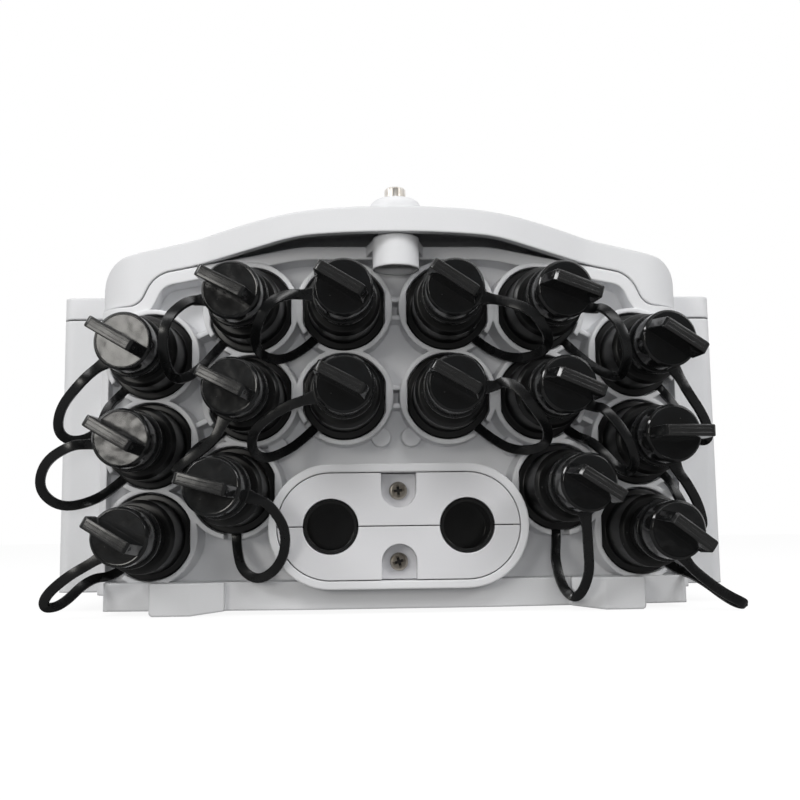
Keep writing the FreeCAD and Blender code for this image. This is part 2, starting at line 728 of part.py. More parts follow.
def collar_cuts(port):
    """Room inside a collar: flange recess, through bore and tether slot."""
    height = COLLAR_RIM - SEAT + CUT_OVERRUN
    half_flat = FLANGE_FLAT + COLLAR_CLEARANCE
    flats = Part.makeBox(2 * half_flat, 2 * COLLAR_BORE, height, Vector(-half_flat, -COLLAR_BORE, SEAT))
    recess = Part.makeCylinder(COLLAR_BORE, height, Vector(0, 0, SEAT)).common(flats)
    plate_rear = -(PLATE_SETBACK + PLATE_THICKNESS + CUT_OVERRUN)
    bore = Part.makeCylinder(TAIL_RADIUS + BORE_CLEARANCE, SEAT - plate_rear, Vector(0, 0, plate_rear))
    slot = Part.makeBox(
        COLLAR_RADIUS - TAIL_RADIUS + CUT_OVERRUN, COLLAR_SLOT, height,
        Vector(TAIL_RADIUS, -COLLAR_SLOT / 2, SEAT),
    )
    return at_port(recess.fuse([bore, turned_about_axis(slot, slot_turn(port))]), port)


def plate_ribs():
    """Ribs that link the collars, and round moulding pads on the plate."""
    root = -(PLATE_SETBACK + PLATE_THICKNESS / 2)
    height = -RIB_SETBACK - root
    ribs = []
    for start, end in LEFT_RIBS:
        mirrored = [MIRROR_COLUMN[port[0]] + port[1:] for port in (start, end)]
        for first, second in ((start, end), mirrored):
            reach = PORTS[first].inverse().multVec(PORTS[second].Base)
            length = math.hypot(reach.x, reach.y)
            rib = Part.makeBox(length, RIB_THICKNESS, height, Vector(0, -RIB_THICKNESS / 2, root))
            turn = math.degrees(math.atan2(reach.y, reach.x))
            ribs.append(at_port(turned_about_axis(rib, turn), first))
    for port in ("c1", "c2"):
        for level in (-COLLAR_SLOT / 2, COLLAR_SLOT / 2):
            corner = Vector(0, level - RIB_THICKNESS / 2, root)
            ribs.append(at_port(Part.makeBox(2 * MIDDLE_COLUMN, RIB_THICKNESS, height, corner), port))
    pad = Part.makeCylinder(PAD_RADIUS, -PAD_SETBACK - root, Vector(0, 0, root))
    pads = []
    for port, turn in PAD_TURN.items():
        spot = pad.copy()
        spot.translate(around(turn, COLLAR_RADIUS + PAD_RADIUS / 2, 0))
        pads.append(at_port(spot, port))
    return ribs + pads


def gland_housing():
    """Oval ring and floor of the cable gland, and the cuts through them."""
    outer = stadium(GLAND_HOLE_HALF_SPACING, GLAND_HEIGHT, GLAND_HALF_HEIGHT)
    inner = stadium(GLAND_HOLE_HALF_SPACING, GLAND_HEIGHT, GLAND_HALF_HEIGHT - GLAND_RING_WALL)
    rear = GLAND_FLOOR_Y + GLAND_FLOOR
    ring = drawn_back(front_face(outer, GLAND_FACE_Y), rear - GLAND_FACE_Y)
    cuts = [drawn_back(front_face(inner, GLAND_FACE_Y), GLAND_FLOOR_Y - GLAND_FACE_Y)]
    for side in (-1, 1):
        x = side * GLAND_HOLE_HALF_SPACING
        cuts.append(cylinder_y(GLAND_HOLE_RADIUS, x, GLAND_HEIGHT, GLAND_FACE_Y, rear + CUT_OVERRUN))
        z = GLAND_HEIGHT + side * GLAND_SCREW_OFFSET
        bore = GLAND_SCREW_RADIUS + GLAND_SCREW_CLEARANCE
        cuts.append(cylinder_y(bore, 0, z, GLAND_FACE_Y, rear + CUT_OVERRUN))
    return ring, cuts


def lock_boss():
    """Boss ahead of the hood's rim that takes the lock's threaded insert, with its web, and its bores."""
    bottom = LOCK_BOSS_TOP - LOCK_BOSS_HEIGHT
    boss = cylinder_z(LOCK_BOSS_RADIUS, 0, LOCK_Y, bottom, LOCK_BOSS_TOP)
    root = LOCK_BOSS_RADIUS + LOCK_WEB_SPREAD
    web = both_sides([(LOCK_BOSS_RADIUS, LOCK_Y, 0), (root, PORT_Y + RIM_WALL, 0)])
    web_bottom = HOOD_TOP - LOCK_WEB_HEIGHT
    solid = boss.fuse(raised(plan_face(web, web_bottom), LOCK_WEB_HEIGHT))
    core = cylinder_z(LOCK_CORE_RADIUS, 0, LOCK_Y, bottom, bottom + LOCK_CORE_DEPTH)
    bore = cylinder_z(INSERT_RADIUS, 0, LOCK_Y, bottom, LOCK_BOSS_TOP)
    return solid, core.fuse(bore)


def hinge_cylinder(radius, x, width):
    """Cylinder about the hinge's axis."""
    return Part.makeCylinder(radius, width, Vector(x, HINGE_Y, HINGE_Z), Vector(1, 0, 0))


def knuckle(x, width, arm):
    """Hinge knuckle, with the arm that joins it to a wall, as corners in Y and Z."""
    web = drawn_right(side_face(arm, x), width)
    bore = hinge_cylinder(PIN_RADIUS + PIN_CLEARANCE, x, width)
    return hinge_cylinder(HINGE_RADIUS, x, width).fuse(web).cut(bore)


def base_knuckles():
    """The base's middle knuckle of each hinge, on a gusset from the rear wall."""
    wall = REAR_Y - CASE_WALL / 2
    arm = [
        (wall, HINGE_Z - HINGE_GUSSET, 0), (HINGE_Y + HINGE_RADIUS, HINGE_Z, 0),
        (HINGE_Y - HINGE_RADIUS, HINGE_Z, 0), (wall, SEAM_HEIGHT - CASE_WALL, 0),
    ]
    left = [side * HINGE_HALF_SPACING - BASE_KNUCKLE_WIDTH / 2 for side in (-1, 1)]
    return [knuckle(x, BASE_KNUCKLE_WIDTH, arm) for x in left]


def tray_posts():
    """Posts in the base that carry the splice tray, each with a locating peg."""
    posts = []
    for x in (TRAY_POST_INSET - TRAY_HALF_WIDTH, TRAY_HALF_WIDTH - TRAY_POST_INSET):
        for y in (TRAY_FRONT_Y + TRAY_POST_INSET, TRAY_REAR_Y - TRAY_POST_INSET):
            post = cylinder_z(TRAY_POST_RADIUS, x, y, FLOOR - CASE_WALL / 2, TRAY_HEIGHT)
            peg = cylinder_z(TRAY_PEG_RADIUS, x, y, TRAY_HEIGHT, TRAY_HEIGHT + 2 * TRAY_FLOOR)
            posts.append(post.fuse(peg))
    return posts


def seal_run(fit):
    """Run of the lid seal: round the case's rim and over the hood, narrowed by a fit."""
    inset = (CASE_WALL - SEAL_WIDTH) / 2 + fit
    low = SEAM_HEIGHT - SEAL_DEPTH + fit
    high = SEAM_HEIGHT + SEAM_GAP - SEAL_FIT
    rim = case_prism(inset, low, high).cut(case_prism(inset + SEAL_WIDTH - 2 * fit, low, high))
    front = FRONT_Y + inset
    rear = front + SEAL_WIDTH - 2 * fit
    band = hood_prism(high - SEAM_HEIGHT, front, rear)
    under = hood_prism(fit - SEAL_DEPTH, front, rear)
    lifted = Part.makeBox(2 * CASE_HALF_WIDTH, rear - front, HOOD_TOP, Vector(-CASE_HALF_WIDTH, front, low))
    return rim.cut(under).fuse(band.cut(under).common(lifted)).removeSplitter()


def base_housing():
    """Tub, port block, ledge and feet as one moulding."""
    outer, hollow = port_block()
    body = case_prism(0, UNDERSIDE, SEAM_HEIGHT).fuse([outer, ledge()])
    body = body.cut([case_prism(CASE_WALL, FLOOR, HOOD_TOP), hollow])
    ring, gland_cuts = gland_housing()
    boss, boss_cuts = lock_boss()
    growth = [ring, boss, *plate_ribs(), *base_knuckles(), *tray_posts()]
    growth += [at_port(collar_blank(), port) for port in PORTS]
    growth += [foot(side) for foot in (front_foot, rear_foot) for side in (-1, 1)]
    cuts = [collar_cuts(port) for port in PORTS] + gland_cuts + [boss_cuts, seal_run(0)]
    for x in (-FOOT_HALF_SPACING, FOOT_HALF_SPACING):
        for y in (-FOOT_SPACING_Y / 2, FOOT_SPACING_Y / 2):
            cuts.append(cylinder_z(FOOT_HOLE_RADIUS, x, y, 0, FOOT_HOLE_DEPTH))
    return body.fuse(growth).cut(cuts).removeSplitter()


# Gland pieces

def gland_slab(front, depth):
    """Oval slab that fits inside the gland's ring."""
    half_height = GLAND_HALF_HEIGHT - GLAND_RING_WALL - CLAMP_CLEARANCE
    return drawn_back(front_face(stadium(GLAND_HOLE_HALF_SPACING, GLAND_HEIGHT, half_height), front), depth)


def clamp_half(side):
    """Half of the gland clamp, above or below the split, with the pocket of its screw."""
    whole = gland_slab(GLAND_FACE_Y, CLAMP_DEPTH)
    length = GLAND_HOLE_HALF_SPACING + GLAND_HALF_HEIGHT
    split = GLAND_HEIGHT + side * CLAMP_SPLIT / 2
    keep = both_sides([(length, split, 0), (length, split + side * GLAND_HALF_HEIGHT, 0)])
    screw_z = GLAND_HEIGHT + side * GLAND_SCREW_OFFSET
    pocket_root = screw_z - side * CLAMP_POCKET_MARGIN
    half_pocket = CLAMP_POCKET_WIDTH / 2
    pocket = both_sides([
        (half_pocket, pocket_root, half_pocket), (half_pocket, split + side * GLAND_HALF_HEIGHT, 0),
    ])
    bore = GLAND_SCREW_RADIUS + GLAND_SCREW_CLEARANCE
    cuts = [
        drawn_back(front_face(pocket, GLAND_FACE_Y), CLAMP_POCKET_DEPTH),
        cylinder_y(bore, 0, screw_z, GLAND_FACE_Y, CLAMP_REAR_Y),
    ]
    for x in (-GLAND_HOLE_HALF_SPACING, GLAND_HOLE_HALF_SPACING):
        cuts.append(cylinder_y(GLAND_HOLE_RADIUS, x, GLAND_HEIGHT, GLAND_FACE_Y, CLAMP_REAR_Y))
    return whole.common(drawn_back(front_face(keep, GLAND_FACE_Y), CLAMP_DEPTH)).cut(cuts)


def gland_seal():
    """Rubber seal behind the clamp, with a blind cup in each cable hole."""
    front = CLAMP_REAR_Y + CLAMP_CLEARANCE
    flange = gland_slab(front, SEAL_FLANGE)
    tail = GLAND_FLOOR_Y + GLAND_FLOOR + PLUG_TAIL
    rim = GLAND_FACE_Y + PLUG_RECESS
    radius = GLAND_HOLE_RADIUS - CLAMP_CLEARANCE
    screw_bore = GLAND_SCREW_RADIUS + GLAND_SCREW_CLEARANCE
    plugs = []
    hollows = []
    for side in (-1, 1):
        x = side * GLAND_HOLE_HALF_SPACING
        plugs.append(cylinder_y(radius, x, GLAND_HEIGHT, rim, tail))
        hollows.append(cylinder_y(radius - PLUG_WALL, x, GLAND_HEIGHT, rim, rim + PLUG_DEPTH))
        z = GLAND_HEIGHT + side * GLAND_SCREW_OFFSET
        hollows.append(cylinder_y(screw_bore, 0, z, front, front + SEAL_FLANGE))
    return flange.fuse(plugs).cut(hollows).removeSplitter()


def gland_screws():
    """Two cross-head screws that hold the clamp halves."""
    screws = []
    seat = GLAND_FACE_Y + CLAMP_POCKET_DEPTH
    front = seat - GLAND_SCREW_HEAD_HEIGHT
    for side in (-1, 1):
        z = GLAND_HEIGHT + side * GLAND_SCREW_OFFSET
        head = cylinder_y(GLAND_SCREW_HEAD, 0, z, front, seat)
        shank = cylinder_y(GLAND_SCREW_RADIUS, 0, z, seat, GLAND_FLOOR_Y + GLAND_FLOOR)
        depth = GLAND_SCREW_HEAD_HEIGHT / 2
        half_slot = CROSS_WIDTH / 2
        cross = [
            Part.makeBox(2 * CROSS_REACH, depth, CROSS_WIDTH, Vector(-CROSS_REACH, front, z - half_slot)),
            Part.makeBox(CROSS_WIDTH, depth, 2 * CROSS_REACH, Vector(-half_slot, front, z - CROSS_REACH)),
        ]
        screws.append(head.fuse(shank).cut(cross).removeSplitter())
    return Part.makeCompound(screws)


# Lid

def lid_profile(half_width, flat):
    """Upper outline of the lid's plateau from one edge to its flat top: corners beside the centre line."""
    shoulder = LID_TOP - (half_width - flat) * LID_FALL
    return [(half_width, shoulder, LID_SHOULDER_ROUND), (flat, LID_TOP, LID_CROWN_ROUND)]


def plateau(inset, low):
    """Raised form of the lid, drawn in by a wall: crowned across, hipped behind and bowed in front."""
    nose_y = PORT_Y - NOSE_TIP
    rear = REAR_Y - (CASE_HALF_WIDTH - PLATEAU_HALF_WIDTH)
    across = both_sides([(PLATEAU_HALF_WIDTH, low - inset, 0), *lid_profile(PLATEAU_HALF_WIDTH, LID_FLAT)])
    crown = drawn_back(offset(front_face(across, nose_y), -inset), rear - nose_y)
    drop = PLATEAU_HALF_WIDTH - LID_FLAT
    along = [
        (nose_y, low - inset, 0), (rear, low - inset, 0),
        (rear, LID_TOP - drop * LID_FALL, LID_SHOULDER_ROUND), (rear - drop, LID_TOP, LID_CROWN_ROUND),
        (nose_y, LID_TOP, 0),
    ]
    hip = drawn_right(offset(side_face(along, -PLATEAU_HALF_WIDTH), -inset), 2 * PLATEAU_HALF_WIDTH)
    nose = [
        (NOSE_HALF_WIDTH, PORT_Y + facet_depth(NOSE_HALF_WIDTH), NOSE_FOOT_ROUND),
        (PLATEAU_HALF_WIDTH, PORT_Y + facet_depth(PLATEAU_HALF_WIDTH), PLATEAU_CORNER),
        (PLATEAU_HALF_WIDTH, rear, PLATEAU_CORNER),
    ]
    plan = offset(plan_face([(0, nose_y, NOSE_ROUND), *both_sides(nose)], low), -inset)
    return raised(plan, LID_TOP - low).common(crown).common(hip)


def lid_knuckles():
    """The lid's pair of knuckles of each hinge, on arms from its rear rim."""
    wall = REAR_Y - CASE_WALL / 2
    arm = [
        (wall, HINGE_Z, 0), (HINGE_Y, HINGE_Z, 0), (HINGE_Y, HINGE_Z + HINGE_RADIUS, 0),
        (wall, HINGE_Z + HINGE_OFFSET, 0),
    ]
    reach = BASE_KNUCKLE_WIDTH / 2 + KNUCKLE_GAP
    knuckles = []
    for side in (-1, 1):
        middle = side * HINGE_HALF_SPACING
        for x in (middle - reach - LID_KNUCKLE_WIDTH, middle + reach):
            knuckles.append(knuckle(x, LID_KNUCKLE_WIDTH, arm))
    return knuckles


def lock_pad():
    """Round pad on the lid under the lock bolt's head, and the tube below it."""
    edge = LOCK_PAD_RADIUS - LOCK_PAD_ROUND
    profile = [
        Vector(0, LOCK_Y, LID_TOP - LID_WALL), Vector(LOCK_PAD_RADIUS, LOCK_Y, LID_TOP - LID_WALL),
        Vector(LOCK_PAD_RADIUS, LOCK_Y, LOCK_PAD_TOP - LOCK_PAD_ROUND), Vector(edge, LOCK_Y, LOCK_PAD_TOP),
        Vector(0, LOCK_Y, LOCK_PAD_TOP),
    ]
    bulge = LOCK_PAD_ROUND * (1 - math.sqrt(0.5))
    crest = Vector(LOCK_PAD_RADIUS - bulge, LOCK_Y, LOCK_PAD_TOP - bulge)
    arc = Part.Arc(profile[2], crest, profile[3]).toShape()
    rim = Part.Wire([
        Part.makeLine(profile[0], profile[1]), Part.makeLine(profile[1], profile[2]), arc,
        Part.makeLine(profile[3], profile[4]), Part.makeLine(profile[4], profile[0]),
    ])
    pad = Part.Face(rim).revolve(Vector(0, LOCK_Y, 0), Vector(0, 0, 1), 360)
    tube = cylinder_z(LOCK_TUBE_RADIUS, 0, LOCK_Y, LOCK_BOSS_TOP + LOCK_TUBE_GAP, LID_TOP - LID_WALL / 2)
    return pad.fuse(tube)


def lid():
    """Moulded cover: rim over the case, crowned plateau, bowed nose over the ports, sealing bulkhead."""
    inside = FRONT_Y + CASE_WALL
    skin = case_prism(0, LID_BOTTOM, LID_RIM_TOP).fuse(plateau(0, LID_BOTTOM))
    bulkhead = Part.makeBox(
        2 * CASE_HALF_WIDTH, BULKHEAD, LID_TOP, Vector(-CASE_HALF_WIDTH, inside - BULKHEAD, LID_BOTTOM),
    )
    rim_room = case_prism(CASE_WALL, LID_BOTTOM, LID_RIM_TOP - LID_WALL)
    rooms = plateau(LID_WALL, LID_BOTTOM).fuse(rim_room).cut(bulkhead)
    hood_room = hood_prism(SEAM_GAP, PORT_Y - NOSE_TIP, inside)
    bore = cylinder_z(INSERT_BORE, 0, LOCK_Y, LOCK_BOSS_TOP, LOCK_PAD_TOP)
    return skin.cut(rooms).fuse([lock_pad(), *lid_knuckles()]).cut([hood_room, bore]).removeSplitter()


# Lock, hinge pins, seal and tray

def lock_bolt():
    """Slotted captive bolt through the lid's pad."""
    tip = LOCK_BOSS_TOP - BOLT_ENGAGEMENT
    shank = cylinder_z(BOLT_RADIUS, 0, LOCK_Y, tip, LOCK_PAD_TOP)
    top = LOCK_PAD_TOP + BOLT_HEAD_HEIGHT
    head = cylinder_z(BOLT_HEAD_RADIUS, 0, LOCK_Y, LOCK_PAD_TOP, top)
    slot = Part.makeBox(
        2 * BOLT_HEAD_RADIUS, BOLT_SLOT_WIDTH, BOLT_SLOT_DEPTH,
        Vector(-BOLT_HEAD_RADIUS, LOCK_Y - BOLT_SLOT_WIDTH / 2, top - BOLT_SLOT_DEPTH),
    )
    return shank.fuse(head).cut(slot).removeSplitter()


def lock_insert():
    """Threaded brass insert in the lock boss."""
    bottom = LOCK_BOSS_TOP - LOCK_BOSS_HEIGHT + LOCK_CORE_DEPTH / 2
    sleeve = cylinder_z(INSERT_RADIUS, 0, LOCK_Y, bottom, LOCK_BOSS_TOP)
    return sleeve.cut(cylinder_z(INSERT_BORE, 0, LOCK_Y, bottom, LOCK_BOSS_TOP))


def hinge_pins():
    """One pin through the three knuckles of each hinge."""
    length = BASE_KNUCKLE_WIDTH + 2 * (KNUCKLE_GAP + LID_KNUCKLE_WIDTH)
    left = [side * HINGE_HALF_SPACING - length / 2 for side in (-1, 1)]
    return Part.makeCompound([hinge_cylinder(PIN_RADIUS, x, length) for x in left])


def splice_tray():
    """Tray with a rim, two fibre drums and a comb for splice sleeves between them."""
    corners = rectangle(TRAY_HALF_WIDTH, TRAY_FRONT_Y, TRAY_REAR_Y, TRAY_CORNER)
    face = plan_face(corners, TRAY_HEIGHT)
    top = TRAY_HEIGHT + TRAY_FLOOR + TRAY_RIM
    floor = TRAY_HEIGHT + TRAY_FLOOR
    room = raised(offset(face, -TRAY_WALL), TRAY_FLOOR + TRAY_RIM)
    room.translate(Vector(0, 0, TRAY_FLOOR))
    tray = raised(face, TRAY_FLOOR + TRAY_RIM).cut(room)
    middle = (TRAY_FRONT_Y + TRAY_REAR_Y) / 2
    drum_offset = TRAY_DRUM_RADIUS + TRAY_COMB_TEETH * TRAY_COMB_PITCH / 2
    rails = []
    for side in (-1, 1):
        y = middle + side * drum_offset
        drum = cylinder_z(TRAY_DRUM_RADIUS, 0, y, TRAY_HEIGHT, top)
        rails.append(drum.cut(cylinder_z(TRAY_DRUM_RADIUS - TRAY_WALL, 0, y, floor, top)))
    for tooth in range(TRAY_COMB_TEETH):
        y = middle + (tooth - (TRAY_COMB_TEETH - 1) / 2) * TRAY_COMB_PITCH - TRAY_WALL / 2
        corner = Vector(-TRAY_COMB_WIDTH / 2, y, TRAY_HEIGHT)
        rails.append(Part.makeBox(TRAY_COMB_WIDTH, TRAY_WALL, TRAY_RIM, corner))
    holes = []
    for x in (TRAY_POST_INSET - TRAY_HALF_WIDTH, TRAY_HALF_WIDTH - TRAY_POST_INSET):
        for y in (TRAY_FRONT_Y + TRAY_POST_INSET, TRAY_REAR_Y - TRAY_POST_INSET):
            holes.append(cylinder_z(TRAY_PEG_RADIUS + TRAY_PEG_CLEARANCE, x, y, TRAY_HEIGHT, floor))
    return tray.fuse(rails).cut(holes).removeSplitter()


def build():
    """Every piece of the box, by its name."""
    pieces = {
        "base_housing": base_housing(),
        "lid": lid(),
        "lid_seal": seal_run(SEAL_FIT),
        "hinge_pins": hinge_pins(),
        "lock_bolt": lock_bolt(),
        "lock_insert": lock_insert(),
        "gland_clamp_upper": clamp_half(1),
        "gland_clamp_lower": clamp_half(-1),
        "gland_screws": gland_screws(),
        "gland_seal": gland_seal(),
        "splice_tray": splice_tray(),
        "adapter_nuts": Part.makeCompound([at_port(nut(), port) for port in PORTS]),
    }
    plain_adapter = adapter()
    plain_cap = dust_cap()
    for port in PORTS:
        pieces[f"adapter_{port}"] = at_port(plain_adapter, port)
        pieces[f"dust_cap_{port}"] = at_port(turned_about_axis(plain_cap, FIN_TURN[port]), port)
        pieces[f"cap_tether_{port}"] = at_port(cap_tether(port), port)
    return pieces


os.makedirs("parts", exist_ok=True)
for node, shape in build().items():
    shape.exportStep(f"parts/{node}.step")
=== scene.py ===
"""Looks of a fibre termination box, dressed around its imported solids.

The box lies on its back: the lid faces +Z, the ports face -Y and the feet stand on Z = 0. Sizes are written in
millimetres and turned into metres where a mesh is made. The lamps and the floor are written in metres.
"""

from __future__ import annotations

import json
import logging
import math
from dataclasses import dataclass, field
from enum import Enum
from typing import Any, ClassVar, Mapping, Sequence, Union

import bmesh
import bpy
from mathutils import Matrix, Vector

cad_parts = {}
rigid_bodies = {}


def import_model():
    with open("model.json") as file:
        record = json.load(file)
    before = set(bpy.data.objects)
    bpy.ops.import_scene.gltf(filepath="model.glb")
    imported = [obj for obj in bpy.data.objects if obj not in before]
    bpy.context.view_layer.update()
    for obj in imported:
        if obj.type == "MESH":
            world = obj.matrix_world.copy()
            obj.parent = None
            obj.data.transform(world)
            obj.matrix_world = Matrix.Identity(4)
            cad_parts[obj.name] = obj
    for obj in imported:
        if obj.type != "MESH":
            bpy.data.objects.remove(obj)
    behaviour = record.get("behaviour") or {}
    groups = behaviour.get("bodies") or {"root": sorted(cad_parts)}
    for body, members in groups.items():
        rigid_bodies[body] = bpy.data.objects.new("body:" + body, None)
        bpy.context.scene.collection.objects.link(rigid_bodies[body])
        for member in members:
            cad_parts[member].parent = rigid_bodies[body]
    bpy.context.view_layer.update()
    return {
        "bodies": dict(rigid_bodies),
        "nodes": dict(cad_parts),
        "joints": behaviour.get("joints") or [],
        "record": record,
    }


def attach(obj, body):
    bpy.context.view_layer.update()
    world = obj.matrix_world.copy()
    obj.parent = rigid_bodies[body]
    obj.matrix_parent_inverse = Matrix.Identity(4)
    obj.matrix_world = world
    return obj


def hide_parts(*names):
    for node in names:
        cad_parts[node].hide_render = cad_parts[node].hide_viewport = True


LOG = logging.getLogger("termination_box")

# Metres in a millimetre, a length that counts as none, and how far a cutting shell stands clear of its piece
MM = 0.001
TINY = 1e-6
CLEAR = 1.0

Number = Union[float, "Signal"]
Colour = tuple[float, float, float, float]
Point = tuple[float, float, float]
Range = tuple[float, float]
Outline = list[tuple[float, float]]


def grey(level: float, warmth: float = 0.0) -> Colour:
    """Opaque grey of a linear level, a little warmer or cooler."""
    return (level * (1 + warmth), level, level * (1 - warmth), 1.0)


class Signal:
    """A number that varies over a surface: arithmetic on it adds Math nodes to its graph."""

    def __init__(self, graph: ShaderGraph, socket: bpy.types.NodeSocket) -> None:
        """Wrap an output socket of a graph's node."""
        self.graph = graph
        self.socket = socket

    def _math(self, operation: str, first: Number, second: Number, clamp: bool = False) -> Signal:
        """Add one Math node.

        Args:
            operation: The Math node's operation.
            first: Its first input.
            second: Its second input.
            clamp: Whether the result is kept from 0 to 1.

        Returns:
            The node's result.
        """
        settings = {"operation": operation, "use_clamp": clamp}
        node = self.graph.add("ShaderNodeMath", settings, {0: first, 1: second})
        return Signal(self.graph, node.outputs[0])

    def __add__(self, other: Number) -> Signal:
        """Sum."""
        return self._math("ADD", self, other)

    def __radd__(self, other: float) -> Signal:
        """Sum with a plain number on the left."""
        return self._math("ADD", other, self)

    def __sub__(self, other: Number) -> Signal:
        """Difference."""
        return self._math("SUBTRACT", self, other)

    def __rsub__(self, other: float) -> Signal:
        """Difference from a plain number."""
        return self._math("SUBTRACT", other, self)

    def __mul__(self, other: Number) -> Signal:
        """Product."""
        return self._math("MULTIPLY", self, other)

    def __rmul__(self, other: float) -> Signal:
        """Product with a plain number on the left."""
        return self._math("MULTIPLY", other, self)

    def __pow__(self, other: Number) -> Signal:
        """Power."""
        return self._math("POWER", self, other)

    def __rpow__(self, other: float) -> Signal:
        """Power of a plain number."""
        return self._math("POWER", other, self)

    def kept(self) -> Signal:
        """This value, kept from 0 to 1."""
        return self._math("ADD", self, 0.0, clamp=True)

    def swing(self) -> Signal:
        """A value from 0 to 1 as its distance from the middle."""
        return self - 0.5

    def step(self, low: float, high: float) -> Signal:
        """Smooth step.

        Args:
            low: Value at which the result is 0.
            high: Value at which the result is 1.

        Returns:
            The step, from 0 to 1.
        """
        settings = {"interpolation_type": "SMOOTHSTEP"}
        inputs = {"Value": self, "From Min": low, "From Max": high}
        return Signal(self.graph, self.graph.add("ShaderNodeMapRange", settings, inputs).outputs[0])


@dataclass(frozen=True)
class Cloud:
    """Cloudy noise of one kind: patches to the metre, octaves of finer patches, and how strong those are."""

    scale: float
    detail: float = 2.0
    rough: float = 0.5


class ShaderGraph:
    """Node tree of a material or of the world, built from one method for nodes and one for links."""

    EDGE_SAMPLES: ClassVar[int] = 6

    def __init__(self, owner: Union[bpy.types.Material, bpy.types.World]) -> None:
        """Empty the owner's node tree.

        Args:
            owner: Material or world that the nodes are for.
        """
        owner.use_nodes = True
        self.owner = owner
        self.tree = owner.node_tree
        self.tree.nodes.clear()

    def add(
        self, kind: str, settings: Mapping[str, Any] | None = None, inputs: Mapping[Any, Any] | None = None,
    ) -> bpy.types.Node:
        """Add a node.

        Args:
            kind: Type of the node.
            settings: Its properties, set first.
            inputs: Values or links of its sockets, by name or index.

        Returns:
            The node.
        """
        node = self.tree.nodes.new(kind)
        for key, value in (settings or {}).items():
            setattr(node, key, value)
        for key, value in (inputs or {}).items():
            self._feed(node.inputs[key], value)
        return node

    def _feed(self, socket: bpy.types.NodeSocket, value: Any) -> None:
        """Link a socket or a signal to an input, or set the input's own value.

        Args:
            socket: The input.
            value: What it gets.
        """
        if isinstance(value, Signal):
            self.tree.links.new(value.socket, socket)
        elif isinstance(value, bpy.types.NodeSocket):
            self.tree.links.new(value, socket)
        else:
            socket.default_value = value

    def place(self) -> bpy.types.NodeSocket:
        """Position on the piece, in metres of its own frame."""
        return self.add("ShaderNodeTexCoord").outputs["Object"]

    def height(self) -> Signal:
        """Position along the piece's third axis, in metres."""
        return Signal(self, self.add("ShaderNodeSeparateXYZ", None, {0: self.place()}).outputs[2])

    def rays(self) -> tuple[Signal, ...]:
        """Tell the kinds of rays apart.

        Returns:
            Signals that are 1 for the camera's, for mirrored and for transmitted rays, and 0 for all others.
        """
        path = self.add("ShaderNodeLightPath")
        names = ("Is Camera Ray", "Is Glossy Ray", "Is Transmission Ray")
        return tuple(Signal(self, path.outputs[name]) for name in names)

    def noise(self, cloud: Cloud, where: bpy.types.NodeSocket | None = None) -> Signal:
        """Cloudy noise from 0 to 1.

        Args:
            cloud: Its kind.
            where: Coordinates, or None for the place on the piece.

        Returns:
            The noise.
        """
        inputs = {
            "Vector": self.place() if where is None else where,
            "Scale": cloud.scale, "Detail": cloud.detail, "Roughness": cloud.rough,
        }
        return Signal(self, self.add("ShaderNodeTexNoise", None, inputs).outputs[0])

    def specks(self, scale: float, size: float) -> Signal:
        """Small round spots at random places.

        Args:
            scale: Cells to the metre, each with one spot.
            size: Radius of a spot as a share of a cell.

        Returns:
            1 in a spot, 0 elsewhere.
        """
        cells = self.add("ShaderNodeTexVoronoi", None, {"Vector": self.place(), "Scale": scale})
        return 1 - Signal(self, cells.outputs["Distance"]).step(size / 2, size)

    def stretched(self, scale: Point) -> bpy.types.NodeSocket:
        """Place on the piece with its axes scaled, for streaks."""
        node = self.add("ShaderNodeVectorMath", {"operation": "MULTIPLY"}, {0: self.place(), 1: scale})
        return node.outputs[0]

    def mix(self, factor: Number, first: Any, second: Any) -> bpy.types.NodeSocket:
        """Mix two colours.

        Args:
            factor: 0 for the first, 1 for the second.
            first: A colour or a colour socket.
            second: A colour or a colour socket.

        Returns:
            The mixed colour.
        """
        node = self.add("ShaderNodeMix", {"data_type": "RGBA"}, {0: factor, 6: first, 7: second})
        return node.outputs[2]

    def rounded(self, radius: float) -> bpy.types.NodeSocket:
        """Normal with every edge softened by a radius in millimetres."""
        return self.add("ShaderNodeBevel", {"samples": self.EDGE_SAMPLES}, {"Radius": radius * MM}).outputs[0]

    def bump(self, height: Number, depth: float, normal: bpy.types.NodeSocket) -> bpy.types.NodeSocket:
        """Relief on a surface.

        Args:
            height: Height from 0 to 1.
            depth: Depth of the relief in millimetres.
            normal: Normal that the relief starts from.

        Returns:
            The new normal.
        """
        inputs = {"Strength": 1.0, "Distance": depth * MM, "Height": height, "Normal": normal}
        return self.add("ShaderNodeBump", None, inputs).outputs[0]

    def surface(self, inputs: Mapping[str, Any]) -> None:
        """Close a material with a Principled shader of these inputs."""
        shader = self.add("ShaderNodeBsdfPrincipled", None, inputs)
        self.add("ShaderNodeOutputMaterial", None, {"Surface": shader.outputs[0]})


class Slot(Enum):
    """Material slots of the record."""

    HOUSING = "housing_grey"
    CLAMP = "clamp_grey"
    CAP = "cap_black"
    ADAPTER = "adapter_black"
    TETHER = "tether_rubber"
    SEAL = "seal_rubber"
    STEEL = "plated_steel"
    BRASS = "insert_brass"
    TRAY = "tray_plastic"


